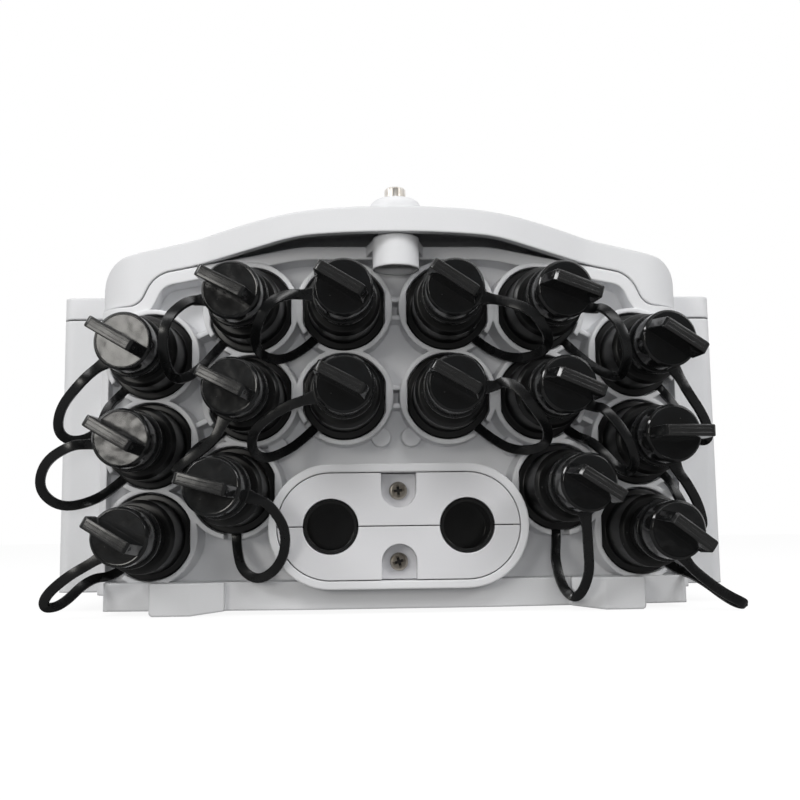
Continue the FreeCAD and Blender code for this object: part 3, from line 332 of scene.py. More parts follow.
@dataclass(frozen=True)
class MouldedPlastic:
    """Light moulded plastic with a fine spark-eroded grain; edge and grain are in millimetres."""

    FLOW: ClassVar[Cloud] = Cloud(26.0, 3.0, 0.55)
    SPARK: ClassVar[Cloud] = Cloud(2600.0, 2.0, 0.6)
    FLOW_SHARE: ClassVar[float] = 0.7
    SHADES: ClassVar[Range] = (0.3, 0.75)
    FLOW_GLOSS: ClassVar[float] = 0.12
    IOR: ClassVar[float] = 1.5

    name: str
    colour: Colour
    shade: Colour
    roughness: float
    edge: float
    grain: float

    def material(self) -> bpy.types.Material:
        """Build the material.

        Returns:
            The material.
        """
        graph = ShaderGraph(bpy.data.materials.new(self.name))
        flow = graph.noise(self.FLOW)
        spark = graph.noise(self.SPARK)
        relief = graph.bump(spark, self.grain, graph.rounded(self.edge))
        cloudy = flow * self.FLOW_SHARE + spark * (1 - self.FLOW_SHARE)
        graph.surface({
            "Base Color": graph.mix(cloudy.step(*self.SHADES), self.shade, self.colour),
            "Roughness": flow.swing() * self.FLOW_GLOSS + self.roughness,
            "Normal": relief,
            "IOR": self.IOR,
        })
        return graph.owner


@dataclass(frozen=True)
class BlackPlastic:
    """Black moulded plastic: semi-gloss with a faint flow pattern, fine scratches, a little dust, and a painted sheen
    on worn tops.

    The depth of the sink marks, the edge and the height above which the skin is worn and painted lighter as a sheen
    are in millimetres.
    """

    FLOW: ClassVar[Cloud] = Cloud(170.0, 3.0, 0.6)
    FLOW_RANGE: ClassVar[Range] = (0.3, 0.7)
    HAZE: ClassVar[Cloud] = Cloud(900.0, 2.0, 0.5)
    HAZE_SHARE: ClassVar[float] = 0.6
    SCRATCHES: ClassVar[Cloud] = Cloud(260.0, 4.0, 0.7)
    SCRATCH_STRETCH: ClassVar[Point] = (1.0, 9.0, 1.0)
    SCRATCH_GLOSS: ClassVar[float] = 0.06
    RELIEF: ClassVar[float] = 0.0025
    SINKS: ClassVar[Cloud] = Cloud(210.0, 1.0, 0.4)
    STREAKS: ClassVar[Cloud] = Cloud(1500.0, 3.0, 0.6)
    STREAK_STRETCH: ClassVar[Point] = (0.05, 1.0, 0.3)
    STREAK_RANGE: ClassVar[Range] = (0.25, 0.8)
    STREAK_SHARE: ClassVar[float] = 0.35
    # Lighter colour painted on the worn tops as a sheen, the height over which it blends in, and the worn tops' added
    # roughness
    RUBBED_AND_SHEEN: ClassVar[Colour] = grey(0.018)
    RUBBED_AND_SHEEN_BLEND: ClassVar[float] = 0.2
    RUBBED_GLOSS: ClassVar[float] = 0.12
    DUST: ClassVar[Colour] = grey(0.35)
    DUSTY: ClassVar[Cloud] = Cloud(90.0)
    DUSTY_RANGE: ClassVar[Range] = (0.48, 0.62)
    SPECK_CELLS: ClassVar[float] = 420.0
    SPECK_SIZE: ClassVar[float] = 0.09
    IOR: ClassVar[float] = 1.55

    name: str
    colour: Colour
    gloss_colour: Colour
    roughness: float
    spread: float
    sink: float
    dust: float
    edge: float
    rubbed_and_sheen_above: float | None = None

    def rub_and_sheen(self, graph: ShaderGraph) -> Number:
        """Find the worn skin with its painted sheen: the outermost faces of a cap, in streaks along its fin.

        Args:
            graph: The material's nodes.

        Returns:
            Its share, from 0 to 1.
        """
        if self.rubbed_and_sheen_above is None:
            return 0.0
        height = graph.height()
        streaks = graph.noise(self.STREAKS, graph.stretched(self.STREAK_STRETCH)).step(*self.STREAK_RANGE)
        low = self.rubbed_and_sheen_above * MM
        outer = height.step(low, low + self.RUBBED_AND_SHEEN_BLEND * MM)
        return outer * (streaks * self.STREAK_SHARE + (1 - self.STREAK_SHARE))

    def material(self) -> bpy.types.Material:
        """Build the material.

        Returns:
            The material.
        """
        graph = ShaderGraph(bpy.data.materials.new(self.name))
        flow = graph.noise(self.FLOW)
        haze = graph.noise(self.HAZE)
        scratches = graph.noise(self.SCRATCHES, graph.stretched(self.SCRATCH_STRETCH))
        specks = graph.specks(self.SPECK_CELLS, self.SPECK_SIZE) * graph.noise(self.DUSTY).step(*self.DUSTY_RANGE)
        rubbed_and_sheen = self.rub_and_sheen(graph)
        base = graph.mix(flow.step(*self.FLOW_RANGE), self.colour, self.gloss_colour)
        # Painted sheen: the worn tops of the caps get a lighter colour; their added roughness is real wear
        base = graph.mix(rubbed_and_sheen, base, self.RUBBED_AND_SHEEN)
        sunk = graph.bump(graph.noise(self.SINKS), self.sink, graph.rounded(self.edge))
        fine = haze * self.HAZE_SHARE + scratches * (1 - self.HAZE_SHARE)
        uneven = flow.swing() * self.spread + scratches.swing() * self.SCRATCH_GLOSS
        graph.surface({
            "Base Color": graph.mix((specks * self.dust).kept(), base, self.DUST),
            "Roughness": (uneven + rubbed_and_sheen * self.RUBBED_GLOSS + self.roughness).kept(),
            "Normal": graph.bump(fine, self.RELIEF, sunk),
            "IOR": self.IOR,
        })
        return graph.owner


@dataclass(frozen=True)
class SoftRubber:
    """Black rubber or soft moulded strap with a satin skin; the pores' depth and the edge are in millimetres."""

    SKIN: ClassVar[Cloud] = Cloud(140.0, 3.0, 0.6)
    PORES: ClassVar[Cloud] = Cloud(2200.0, 2.0, 0.5)
    WORN_RANGE: ClassVar[Range] = (0.35, 0.8)
    SKIN_GLOSS: ClassVar[float] = 0.12
    IOR: ClassVar[float] = 1.5

    name: str
    colour: Colour
    worn: Colour
    roughness: float
    pore_depth: float
    edge: float

    def material(self) -> bpy.types.Material:
        """Build the material.

        Returns:
            The material.
        """
        graph = ShaderGraph(bpy.data.materials.new(self.name))
        skin = graph.noise(self.SKIN)
        pores = graph.noise(self.PORES)
        graph.surface({
            "Base Color": graph.mix(skin.step(*self.WORN_RANGE), self.colour, self.worn),
            "Roughness": skin.swing() * self.SKIN_GLOSS + self.roughness,
            "Normal": graph.bump(pores, self.pore_depth, graph.rounded(self.edge)),
            "IOR": self.IOR,
        })
        return graph.owner


@dataclass(frozen=True)
class TurnedMetal:
    """Plated or bare metal with fine machining marks; the edge and the height below which shade is painted are in
    millimetres.
    """

    STAIN: ClassVar[Cloud] = Cloud(420.0, 4.0, 0.65)
    STAIN_RANGE: ClassVar[Range] = (0.4, 0.75)
    STAIN_GLOSS: ClassVar[float] = 0.3
    MARKS: ClassVar[Cloud] = Cloud(2400.0, 2.0, 0.6)
    MARK_GLOSS: ClassVar[float] = 0.14
    MARK_DEPTH: ClassVar[float] = 0.012
    # Dark colour painted as shade on the lower parts of a head, and the height in millimetres over which it blends in
    PAINTED_SHADE: ClassVar[Colour] = grey(0.03, 0.1)
    PAINTED_SHADE_BLEND: ClassVar[float] = 0.6

    name: str
    colour: Colour
    tarnish: Colour
    roughness: float
    edge: float
    painted_shade_below: float | None = None

    def painted_shade(self, graph: ShaderGraph) -> Number:
        """Find the painted shade: the lower parts of a head, darkened as the shade in its recess.

        Args:
            graph: The material's nodes.

        Returns:
            Its share, from 0 to 1.
        """
        if self.painted_shade_below is None:
            return 0.0
        return 1 - graph.height().step((self.painted_shade_below - self.PAINTED_SHADE_BLEND) * MM, self.painted_shade_below * MM)

    def material(self) -> bpy.types.Material:
        """Build the material.

        Returns:
            The material.
        """
        graph = ShaderGraph(bpy.data.materials.new(self.name))
        stain = graph.noise(self.STAIN)
        marks = graph.noise(self.MARKS)
        base = graph.mix(stain.step(*self.STAIN_RANGE), self.colour, self.tarnish)
        # Painted shade: below a height the head is darkened and loses its metal, standing in for the shade in its
        # recess
        painted_shade = self.painted_shade(graph)
        uneven = stain.swing() * self.STAIN_GLOSS + marks.swing() * self.MARK_GLOSS
        graph.surface({
            "Base Color": graph.mix(painted_shade, base, self.PAINTED_SHADE),
            "Metallic": 1 - painted_shade,
            "Roughness": (uneven + self.roughness).kept(),
            "Normal": graph.bump(marks, self.MARK_DEPTH, graph.rounded(self.edge)),
        })
        return graph.owner


FINISHES: dict[Slot, Union[MouldedPlastic, BlackPlastic, SoftRubber, TurnedMetal]] = {
    Slot.HOUSING: MouldedPlastic(
        "housing_grey", (0.745, 0.748, 0.765, 1), (0.715, 0.722, 0.735, 1), roughness=0.58, edge=1.0, grain=0.03,
    ),
    Slot.CLAMP: MouldedPlastic(
        "clamp_grey", (0.705, 0.705, 0.725, 1), (0.685, 0.688, 0.705, 1), roughness=0.50, edge=0.5, grain=0.02,
    ),
    Slot.TRAY: MouldedPlastic(
        "tray_plastic", (0.70, 0.71, 0.72, 1), (0.67, 0.68, 0.69, 1), roughness=0.5, edge=0.4, grain=0.02,
    ),
    Slot.CAP: BlackPlastic(
        "cap_black", grey(0.008), grey(0.010, -0.06), roughness=0.14, spread=0.14, sink=0.13, dust=0.6, edge=0.2,
        rubbed_and_sheen_above=40.35,
    ),
    Slot.ADAPTER: BlackPlastic(
        "adapter_black", grey(0.003), grey(0.0045, -0.04), roughness=0.34, spread=0.10, sink=0.02, dust=0.4, edge=0.5,
    ),
    Slot.TETHER: SoftRubber(
        "tether_rubber", grey(0.006, -0.05), grey(0.010, -0.05), roughness=0.27, pore_depth=0.006, edge=0.12,
    ),
    Slot.SEAL: SoftRubber(
        "seal_rubber", grey(0.010), grey(0.013), roughness=0.17, pore_depth=0.0015, edge=0.3,
    ),
    Slot.STEEL: TurnedMetal(
        "plated_steel", (0.76, 0.73, 0.69, 1), (0.55, 0.50, 0.44, 1), roughness=0.40, edge=0.15,
    ),
    Slot.BRASS: TurnedMetal(
        "insert_brass", (0.60, 0.45, 0.24, 1), (0.36, 0.26, 0.14, 1), roughness=0.34, edge=0.15,
    ),
}
# Screw heads with shade painted on their lower parts and in their cross recesses
SCREW_FINISH = TurnedMetal(
    "plated_steel_screws", (0.50, 0.46, 0.40, 1), (0.30, 0.26, 0.21, 1), roughness=0.36, edge=0.15, painted_shade_below=1.45,
)


class Finishes:
    """Materials of the record's slots, each made once."""

    def __init__(self) -> None:
        """Make every finish."""
        self.materials = {slot: finish.material() for slot, finish in FINISHES.items()}

    def dress_node(self, node: bpy.types.Object, slot: Slot) -> None:
        """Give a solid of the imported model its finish."""
        node.data.materials.clear()
        node.data.materials.append(self.materials[slot])

    def dress_piece(self, piece: bpy.types.Object, slot: Slot) -> None:
        """Give a piece the finish of a slot where it has none of its own.

        Args:
            piece: Piece of the scene.
            slot: Its slot.
        """
        if not piece.data.materials:
            piece.data.materials.append(self.materials[slot])


@dataclass(frozen=True)
class Port:
    """One port: where it is, how its cap was left turned and how its tether runs, in millimetres and degrees."""

    name: str
    x: float
    z: float
    fin_turn: float
    slot_turn: float
    tab_turn: float
    route: tuple[Point, ...]
    facet_half_width: float = 31.0
    splay: float = 6.5
    plane_y: float = -137.0

    def frame(self) -> Matrix:
        """Find the port's frame: u right along the facet, v up, w out along the axis from the flange's front.

        Returns:
            The frame, in metres.
        """
        splayed = abs(self.x) > self.facet_half_width
        tilt = math.radians(self.splay) if splayed else 0.0
        side = math.copysign(1.0, self.x)
        depth = max(0.0, abs(self.x) - self.facet_half_width) * math.tan(math.radians(self.splay))
        right = Vector((math.cos(tilt), side * math.sin(tilt), 0))
        out = Vector((side * math.sin(tilt), -math.cos(tilt), 0))
        turn = Matrix((right, Vector((0, 0, 1)), out)).transposed().to_4x4()
        return Matrix.Translation(Vector((self.x, self.plane_y + depth, self.z)) * MM) @ turn


PORTS = (
    Port("a1", -79.2, 82.5, 149, 225, 210, (
        (-15.0, -11.5, 24.4), (-23.0, -18.4, 19.2), (-25.0, -25.7, 15.9), (-20.5, -28.7, 13.4), (-13.6, -25.8, 10.6),
        (-12.4, -17.2, 7.0))),
    Port("a2", -79.2, 53.45, 149, 225, 184, (
        (-17.5, -1.3, 24.6), (-27.0, -6.0, 20.7), (-30.1, -14.3, 17.0), (-24.8, -19.8, 12.4), (-16.1, -18.0, 8.4))),
    Port("a3", -79.2, 24.4, 149, 225, 214, (
        (-17.9, -11.3, 22.7), (-26.4, -17.3, 18.6), (-28.0, -21.3, 15.8), (-23.5, -20.7, 12.2), (-16.4, -12.6, 9.0))),
    Port("b1", -46.9, 97.2, 152, 225, 184, (
        (-14.2, -2.5, 27.6), (-18.4, -8.4, 33.1), (-20.0, -15.9, 33.3), (-20.4, -24.0, 24.3), (-18.3, -25.1, 16.0),
        (-13.7, -19.6, 8.5))),
    Port("b2", -46.9, 68.15, 153, 225, 246, (
        (-7.3, -15.3, 20.8), (-12.5, -18.7, 18.4), (-19.3, -23.1, 18.1), (-20.6, -24.6, 13.3), (-14.5, -15.5, 9.0))),
    Port("b3", -52.25, 38.8, 165, 270, 343, (
        (15.4, -5.4, 19.8), (19.7, -12.9, 15.3), (17.7, -22.6, 10.5), (10.5, -28.4, 7.3), (3.6, -25.7, 4.1))),
    Port("c1", -16.75, 97.5, 149, 225, 181, (
        (-16.9, -0.5, 23.0), (-22.1, -3.3, 26.0), (-25.4, -8.7, 26.0), (-27.4, -14.5, 19.0), (-25.5, -18.1, 13.0),
        (-19.0, -18.6, 8.0))),
    Port("c2", -16.75, 68.45, 152, 225, 197, (
        (-16.4, -5.1, 21.0), (-23.1, -8.6, 20.0), (-28.0, -13.2, 18.0), (-28.4, -18.6, 14.0), (-24.4, -20.8, 10.0),
        (-17.3, -17.4, 5.0))),
    Port("d1", 16.75, 97.5, 146, 315, -8, (
        (16.6, -3.4, 24.0), (22.4, -5.7, 26.0), (26.5, -10.0, 26.0), (30.4, -14.9, 19.0), (27.0, -18.6, 15.0),
        (18.9, -18.4, 8.0))),
    Port("d2", 16.75, 68.45, 150, 315, 0, (
        (14.2, 1.7, 22.0), (18.8, -0.3, 25.0), (22.8, -6.2, 26.0), (29.2, -12.9, 19.0), (28.9, -18.1, 12.0),
        (19.9, -18.9, 7.0))),
    Port("e1", 46.9, 97.2, -19, 315, -19, (
        (13.0, -4.5, 26.5), (16.1, -9.2, 29.9), (18.3, -15.3, 31.1), (19.4, -21.4, 29.2), (20.4, -25.8, 19.3),
        (16.3, -22.0, 10.8))),
    Port("e2", 46.9, 68.15, -22, 315, -28, (
        (12.3, -6.3, 25.4), (16.5, -12.1, 27.9), (19.9, -18.5, 28.3), (23.1, -24.8, 22.6), (21.6, -26.2, 15.4),
        (14.5, -15.5, 10.0))),
    Port("e3", 52.25, 38.8, -32, 270, 279, (
        (3.2, -18.6, 17.9), (4.8, -27.9, 14.1), (2.1, -35.7, 9.8), (-1.5, -32.7, 6.3), (-2.9, -23.4, 3.1))),
    Port("f1", 79.2, 82.5, -32, 315, -57, (
        (8.4, -15.1, 22.6), (15.1, -22.6, 19.3), (18.8, -29.2, 15.7), (16.3, -30.4, 11.4), (11.9, -20.0, 7.9))),
    Port("f2", 79.2, 53.45, 0, 315, -66, (
        (6.7, -14.2, 22.4), (12.2, -21.3, 19.0), (15.3, -29.0, 15.3), (13.4, -27.0, 11.1), (10.3, -18.2, 7.7))),
    Port("f3", 79.2, 24.4, -36, 315, -57, (
        (11.8, -15.4, 22.4), (17.4, -19.8, 24.2), (23.2, -22.9, 26.4), (21.2, -22.4, 20.0), (14.6, -14.6, 10.4))),
)


class Edge(float, Enum):
    """Radii of rounded edges, in millimetres."""

    SHARP = 0.0
    KEEN = 0.1
    FINE = 0.2
    SOFT = 0.3
    FULL = 0.4
    WIDE = 0.5
    BROAD = 0.6


def around(turn: float, radius: float, w: float) -> Vector:
    """Point of a port's frame at a direction in degrees and a radius."""
    angle = math.radians(turn)
    return Vector((radius * math.cos(angle), radius * math.sin(angle), w))


def rounded_corners(corners: Sequence[Point], steps: int = 4) -> Outline:
    """Round the corners of a closed outline.

    Args:
        corners: Each corner as two coordinates and a radius.
        steps: Straight pieces that make up each rounded corner.

    Returns:
        The outline's points in order.
    """
    points: Outline = []
    count = len(corners)
    for index, (u, v, radius) in enumerate(corners):
        corner = Vector((u, v))
        if radius == 0:
            points.append((u, v))
            continue
        before = (Vector(corners[index - 1][:2]) - corner).normalized()
        after = (Vector(corners[(index + 1) % count][:2]) - corner).normalized()
        half_angle = before.angle(after) / 2
        middle = corner + (before + after).normalized() * (radius / math.sin(half_angle))
        start = corner + before * (radius / math.tan(half_angle)) - middle
        end = corner + after * (radius / math.tan(half_angle)) - middle
        for step in range(steps + 1):
            arm = start.slerp(end, step / steps) if start.angle(end) > TINY else start
            points.append(tuple(middle + arm.normalized() * radius))
    return points


class Draft:
    """Closed shells drawn in millimetres of a piece's own frame, and joined into one solid mesh."""

    BEVEL_STEPS: ClassVar[int] = 3
    BEVEL_PROFILE: ClassVar[float] = 0.6

    def __init__(self, name: str) -> None:
        """Start without shells."""
        self.name = name
        self.shells: list[bpy.types.Object] = []

    def _keep(self, bm: bmesh.types.BMesh) -> None:
        """Keep a finished shell, in metres, with its faces turned outwards.

        Args:
            bm: The shell, in millimetres.
        """
        bmesh.ops.recalc_face_normals(bm, faces=bm.faces)
        bmesh.ops.scale(bm, vec=(MM, MM, MM), verts=bm.verts)
        mesh = bpy.data.meshes.new(f"{self.name}_shell{len(self.shells)}")
        bm.to_mesh(mesh)
        bm.free()
        shell = bpy.data.objects.new(mesh.name, mesh)
        bpy.context.scene.collection.objects.link(shell)
        self.shells.append(shell)

    def lathe(self, profile: Outline, segments: int = 72) -> None:
        """Turn a closed profile about the frame's third axis.

        Args:
            profile: Points as radius and height; a run along the axis has radius 0.
            segments: Sides of the turned form.
        """
        bm = bmesh.new()
        rings = []
        for radius, height in profile:
            if radius < TINY:
                rings.append([bm.verts.new((0, 0, height))] * segments)
                continue
            turns = [math.tau * step / segments for step in range(segments)]
            rings.append([bm.verts.new((radius * math.cos(t), radius * math.sin(t), height)) for t in turns])
        for first, second in zip(rings, rings[1:] + rings[:1]):
            for step in range(segments):
                after = (step + 1) % segments
                loop = [first[step], first[after], second[after], second[step]]
                corners = list(dict.fromkeys(loop))
                if len(corners) > 2:
                    bm.faces.new(corners)
        self._keep(bm)

    def slab(self, outline: Outline, low: float, high: float, bevel: float = 0.0) -> None:
        """Flat slab in the first and third axes, thick along the second.

        Args:
            outline: Corners along the first and third axes.
            low: Lower end of the thickness.
            high: Upper end of the thickness.
            bevel: Radius of its rounded edges, or 0 for sharp ones.
        """
        bm = bmesh.new()
        face = bm.faces.new([bm.verts.new((u, low, w)) for u, w in outline])
        moved = bmesh.ops.extrude_face_region(bm, geom=[face])["geom"]
        verts = [item for item in moved if isinstance(item, bmesh.types.BMVert)]
        bmesh.ops.translate(bm, vec=(0, high - low, 0), verts=verts)
        bmesh.ops.recalc_face_normals(bm, faces=bm.faces)
        if bevel:
            rims = [edge for edge in bm.edges if abs(edge.verts[0].co.y - edge.verts[1].co.y) < TINY]
            bmesh.ops.bevel(
                bm, geom=rims, offset=bevel, segments=self.BEVEL_STEPS, profile=self.BEVEL_PROFILE, affect="EDGES",
            )
        self._keep(bm)

    def sweep(self, line: Sequence[Vector], section: Outline, widths: Sequence[float]) -> None:
        """Sweep a section along a line, its first axis level with the frame's first two axes.

        Args:
            line: Points of the line.
            section: Points across and along the rise.
            widths: Factor on the width at each point of the line.
        """
        bm = bmesh.new()
        axis = Vector((0, 0, 1))
        rings = []
        for index, point in enumerate(line):
            ahead = (line[min(index + 1, len(line) - 1)] - line[max(index - 1, 0)]).normalized()
            across = axis.cross(ahead).normalized()
            rise = ahead.cross(across)
            rings.append([bm.verts.new(point + across * (u * widths[index]) + rise * v) for u, v in section])
        count = len(section)
        for first, second in zip(rings, rings[1:]):
            for step in range(count):
                after = (step + 1) % count
                bm.faces.new((first[step], first[after], second[after], second[step]))
        bm.faces.new(rings[0])
        bm.faces.new(list(reversed(rings[-1])))
        self._keep(bm)

    def place_last(self, matrix: Matrix) -> None:
        """Move the newest shell in the piece's frame, with the matrix in metres."""
        self.shells[-1].data.transform(matrix)

    def mesh(self, cuts: Sequence[bpy.types.Object] = (), crease: float = 32.0) -> bpy.types.Mesh:
        """Join the shells into one mesh.

        Args:
            cuts: Shells that are taken away at the end.
            crease: Angle in degrees above which an edge stays sharp.

        Returns:
            The joined mesh, smooth between its creases.
        """
        first = self.shells[0]
        for operation, shells in (("UNION", self.shells[1:]), ("DIFFERENCE", cuts)):
            for shell in shells:
                join = first.modifiers.new("join", "BOOLEAN")
                join.operation = operation
                join.solver = "EXACT"
                join.object = shell
        graph = bpy.context.evaluated_depsgraph_get()
        mesh = bpy.data.meshes.new_from_object(first.evaluated_get(graph))
        mesh.name = self.name
        for shell in [*self.shells, *cuts]:
            bpy.data.objects.remove(shell)
        mesh.materials.clear()
        mesh.shade_smooth()
        mesh.set_sharp_from_angle(angle=math.radians(crease))
        return mesh


def put(name: str, mesh: bpy.types.Mesh, body: str, node: str, frame: Matrix) -> bpy.types.Object:
    """Put a piece into the scene.

    Args:
        name: Name of the piece.
        mesh: Its mesh.
        body: Body that it rides on.
        node: Solid that it stands for.
        frame: Where its own frame is.

    Returns:
        The piece.
    """
    piece = bpy.data.objects.new(name, mesh)
    bpy.context.scene.collection.objects.link(piece)
    piece.matrix_world = frame
    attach(piece, body)
    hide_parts(node)
    return piece


@dataclass
class DustCaps:
    """Caps over the adapters' sleeves, each with a thumb fin on a dished face."""

    seat: float = 13.25
    radius: float = 8.9
    bore: float = 7.05
    bore_end: float = 24.25
    groove_low: float = 19.8
    groove_high: float = 22.2
    groove_radius: float = 7.7
    face: float = 31.25
    shoulder: float = 0.7
    rim_radius: float = 8.2
    flat_radius: float = 7.85
    dish: float = 0.1
    dish_share: float = 0.8
    dish_round: float = 0.25
    fin_half: float = 1.8
    fin_top: float = 40.65
    fin_over: float = 9.2
    fin_back: float = 5.6
    fin_foot: float = 8.0
    fin_sink: float = 1.2
    fin_root: Range = (6.2, 6.6)
    fin_edge: float = 0.5
    facet_run: float = 0.9
    facet_drop: float = 0.8
    facet_foot: float = 0.4
    nose_round: float = 1.5
    line_offset: float = 0.62
    line_width: float = 0.16
    line_depth: float = 0.04
    line_inset: float = 0.4
    gate_radius: float = 0.62
    gate_drop: float = 2.4
    gate_sink: float = 0.4
    gate_rise: float = 0.1
    gate_rounds: Range = (0.08, 0.05)
    gate_dimple: Range = (0.5, 0.4)
    gate_sides: int = 28
    gate_steps: int = 3
    round_steps: int = 5

    def profile(self) -> Outline:
        """Turned profile of the cap, from its bore round the outside to its bevelled face.

        Returns:
            Its points as radius and height.
        """
        return rounded_corners([
            (self.bore, self.bore_end, Edge.SHARP), (self.bore, self.seat, Edge.FINE),
            (self.radius, self.seat, Edge.FULL), (self.radius, self.groove_low, Edge.SOFT),
            (self.groove_radius, self.groove_low, Edge.FINE), (self.groove_radius, self.groove_high, Edge.FINE),
            (self.radius, self.groove_high, Edge.FULL), (self.radius, self.face - self.shoulder, Edge.WIDE),
            (self.rim_radius, self.face, Edge.SOFT),
            (self.flat_radius, self.face - self.dish * self.dish_share, self.dish_round),
            (0, self.face - self.dish, Edge.SHARP), (0, self.bore_end, Edge.SHARP),
        ], self.round_steps)

    def fin_outline(self) -> Outline:
        """Side view of the fin: rounded at its overhanging end, with two facets at its short end.

        Returns:
            Its corners along the fin and along the cap's axis.
        """
        low = self.face - self.fin_sink
        root_low, root_high = self.fin_root
        return rounded_corners([
            (self.fin_over, self.face, Edge.WIDE), (self.fin_over, self.fin_top, self.nose_round),
            (-self.fin_back, self.fin_top, Edge.SHARP),
            (-self.fin_back - self.facet_run, self.fin_top - self.facet_drop, Edge.SHARP),
            (-self.fin_foot, self.face + self.facet_foot, Edge.SHARP), (-self.fin_foot, low, Edge.SHARP),
            (root_low, low, Edge.SHARP), (root_high, self.face, Edge.SHARP),
        ], self.round_steps)

    def gate_profile(self) -> Outline:
        """Turned profile of the gate mark: a low rim round a dimple.

        Returns:
            Its points as radius and height over the fin's facet.
        """
        rim_round, mouth_round = self.gate_rounds
        mouth, floor = (self.gate_radius * share for share in self.gate_dimple)
        return rounded_corners([
            (0, -self.gate_sink, Edge.SHARP), (self.gate_radius, -self.gate_sink, Edge.SHARP),
            (self.gate_radius, self.gate_rise, rim_round), (mouth, self.gate_rise, mouth_round),
            (floor, 0, Edge.SHARP), (0, 0, Edge.SHARP),
        ], self.gate_steps)

    def gate_place(self) -> Matrix:
        """Find the gate mark's place on the fin's long facet.

        Returns:
            The place, in metres of the cap's frame.
        """
        run = self.fin_foot - self.fin_back - self.facet_run
        slope = math.atan2(run, self.fin_top - self.face - self.facet_drop - self.facet_foot)
        reach = self.fin_back + self.facet_run + (self.gate_drop - self.facet_drop) * math.tan(slope)
        spot = Vector((-reach, 0, self.fin_top - self.gate_drop)) * MM
        return Matrix.Translation(spot) @ Matrix.Rotation(slope - math.pi / 2, 4, "Y")

    def fin_lines(self) -> list[bpy.types.Object]:
        """Draw the shells that cut two fine lines along the fin's top.

        Returns:
            The shells.
        """
        lines = Draft("fin_lines")
        floor = self.fin_top - self.line_depth
        over = self.fin_top + CLEAR
        outline = [
            (self.fin_over - self.nose_round, floor), (self.fin_over, over), (-self.fin_back, over),
            (self.line_inset - self.fin_back, floor),
        ]
        for middle in (-self.line_offset, self.line_offset):
            lines.slab(outline, middle - self.line_width / 2, middle + self.line_width / 2)
        return lines.shells

    def mesh(self) -> bpy.types.Mesh:
        """Cap with its fin, drawn with the fin's overhanging end along the first axis.

        Returns:
            The mesh, in the cap's frame.
        """
        draft = Draft("dust_cap")
        draft.lathe(self.profile())
        draft.slab(self.fin_outline(), -self.fin_half, self.fin_half, self.fin_edge)
        draft.lathe(self.gate_profile(), self.gate_sides)
        draft.place_last(self.gate_place())
        return draft.mesh(self.fin_lines())

    def build(self, finishes: Finishes) -> list[bpy.types.Object]:
        """Put a cap on every port.

        Args:
            finishes: Materials of the slots.

        Returns:
            The caps.
        """
        mesh = self.mesh()
        caps = []
        for port in PORTS:
            frame = port.frame() @ Matrix.Rotation(math.radians(port.fin_turn), 4, "Z")
            cap = put(f"cap_{port.name}", mesh, f"cap_{port.name}", f"dust_cap_{port.name}", frame)
            finishes.dress_piece(cap, Slot.CAP)
            caps.append(cap)
        return caps


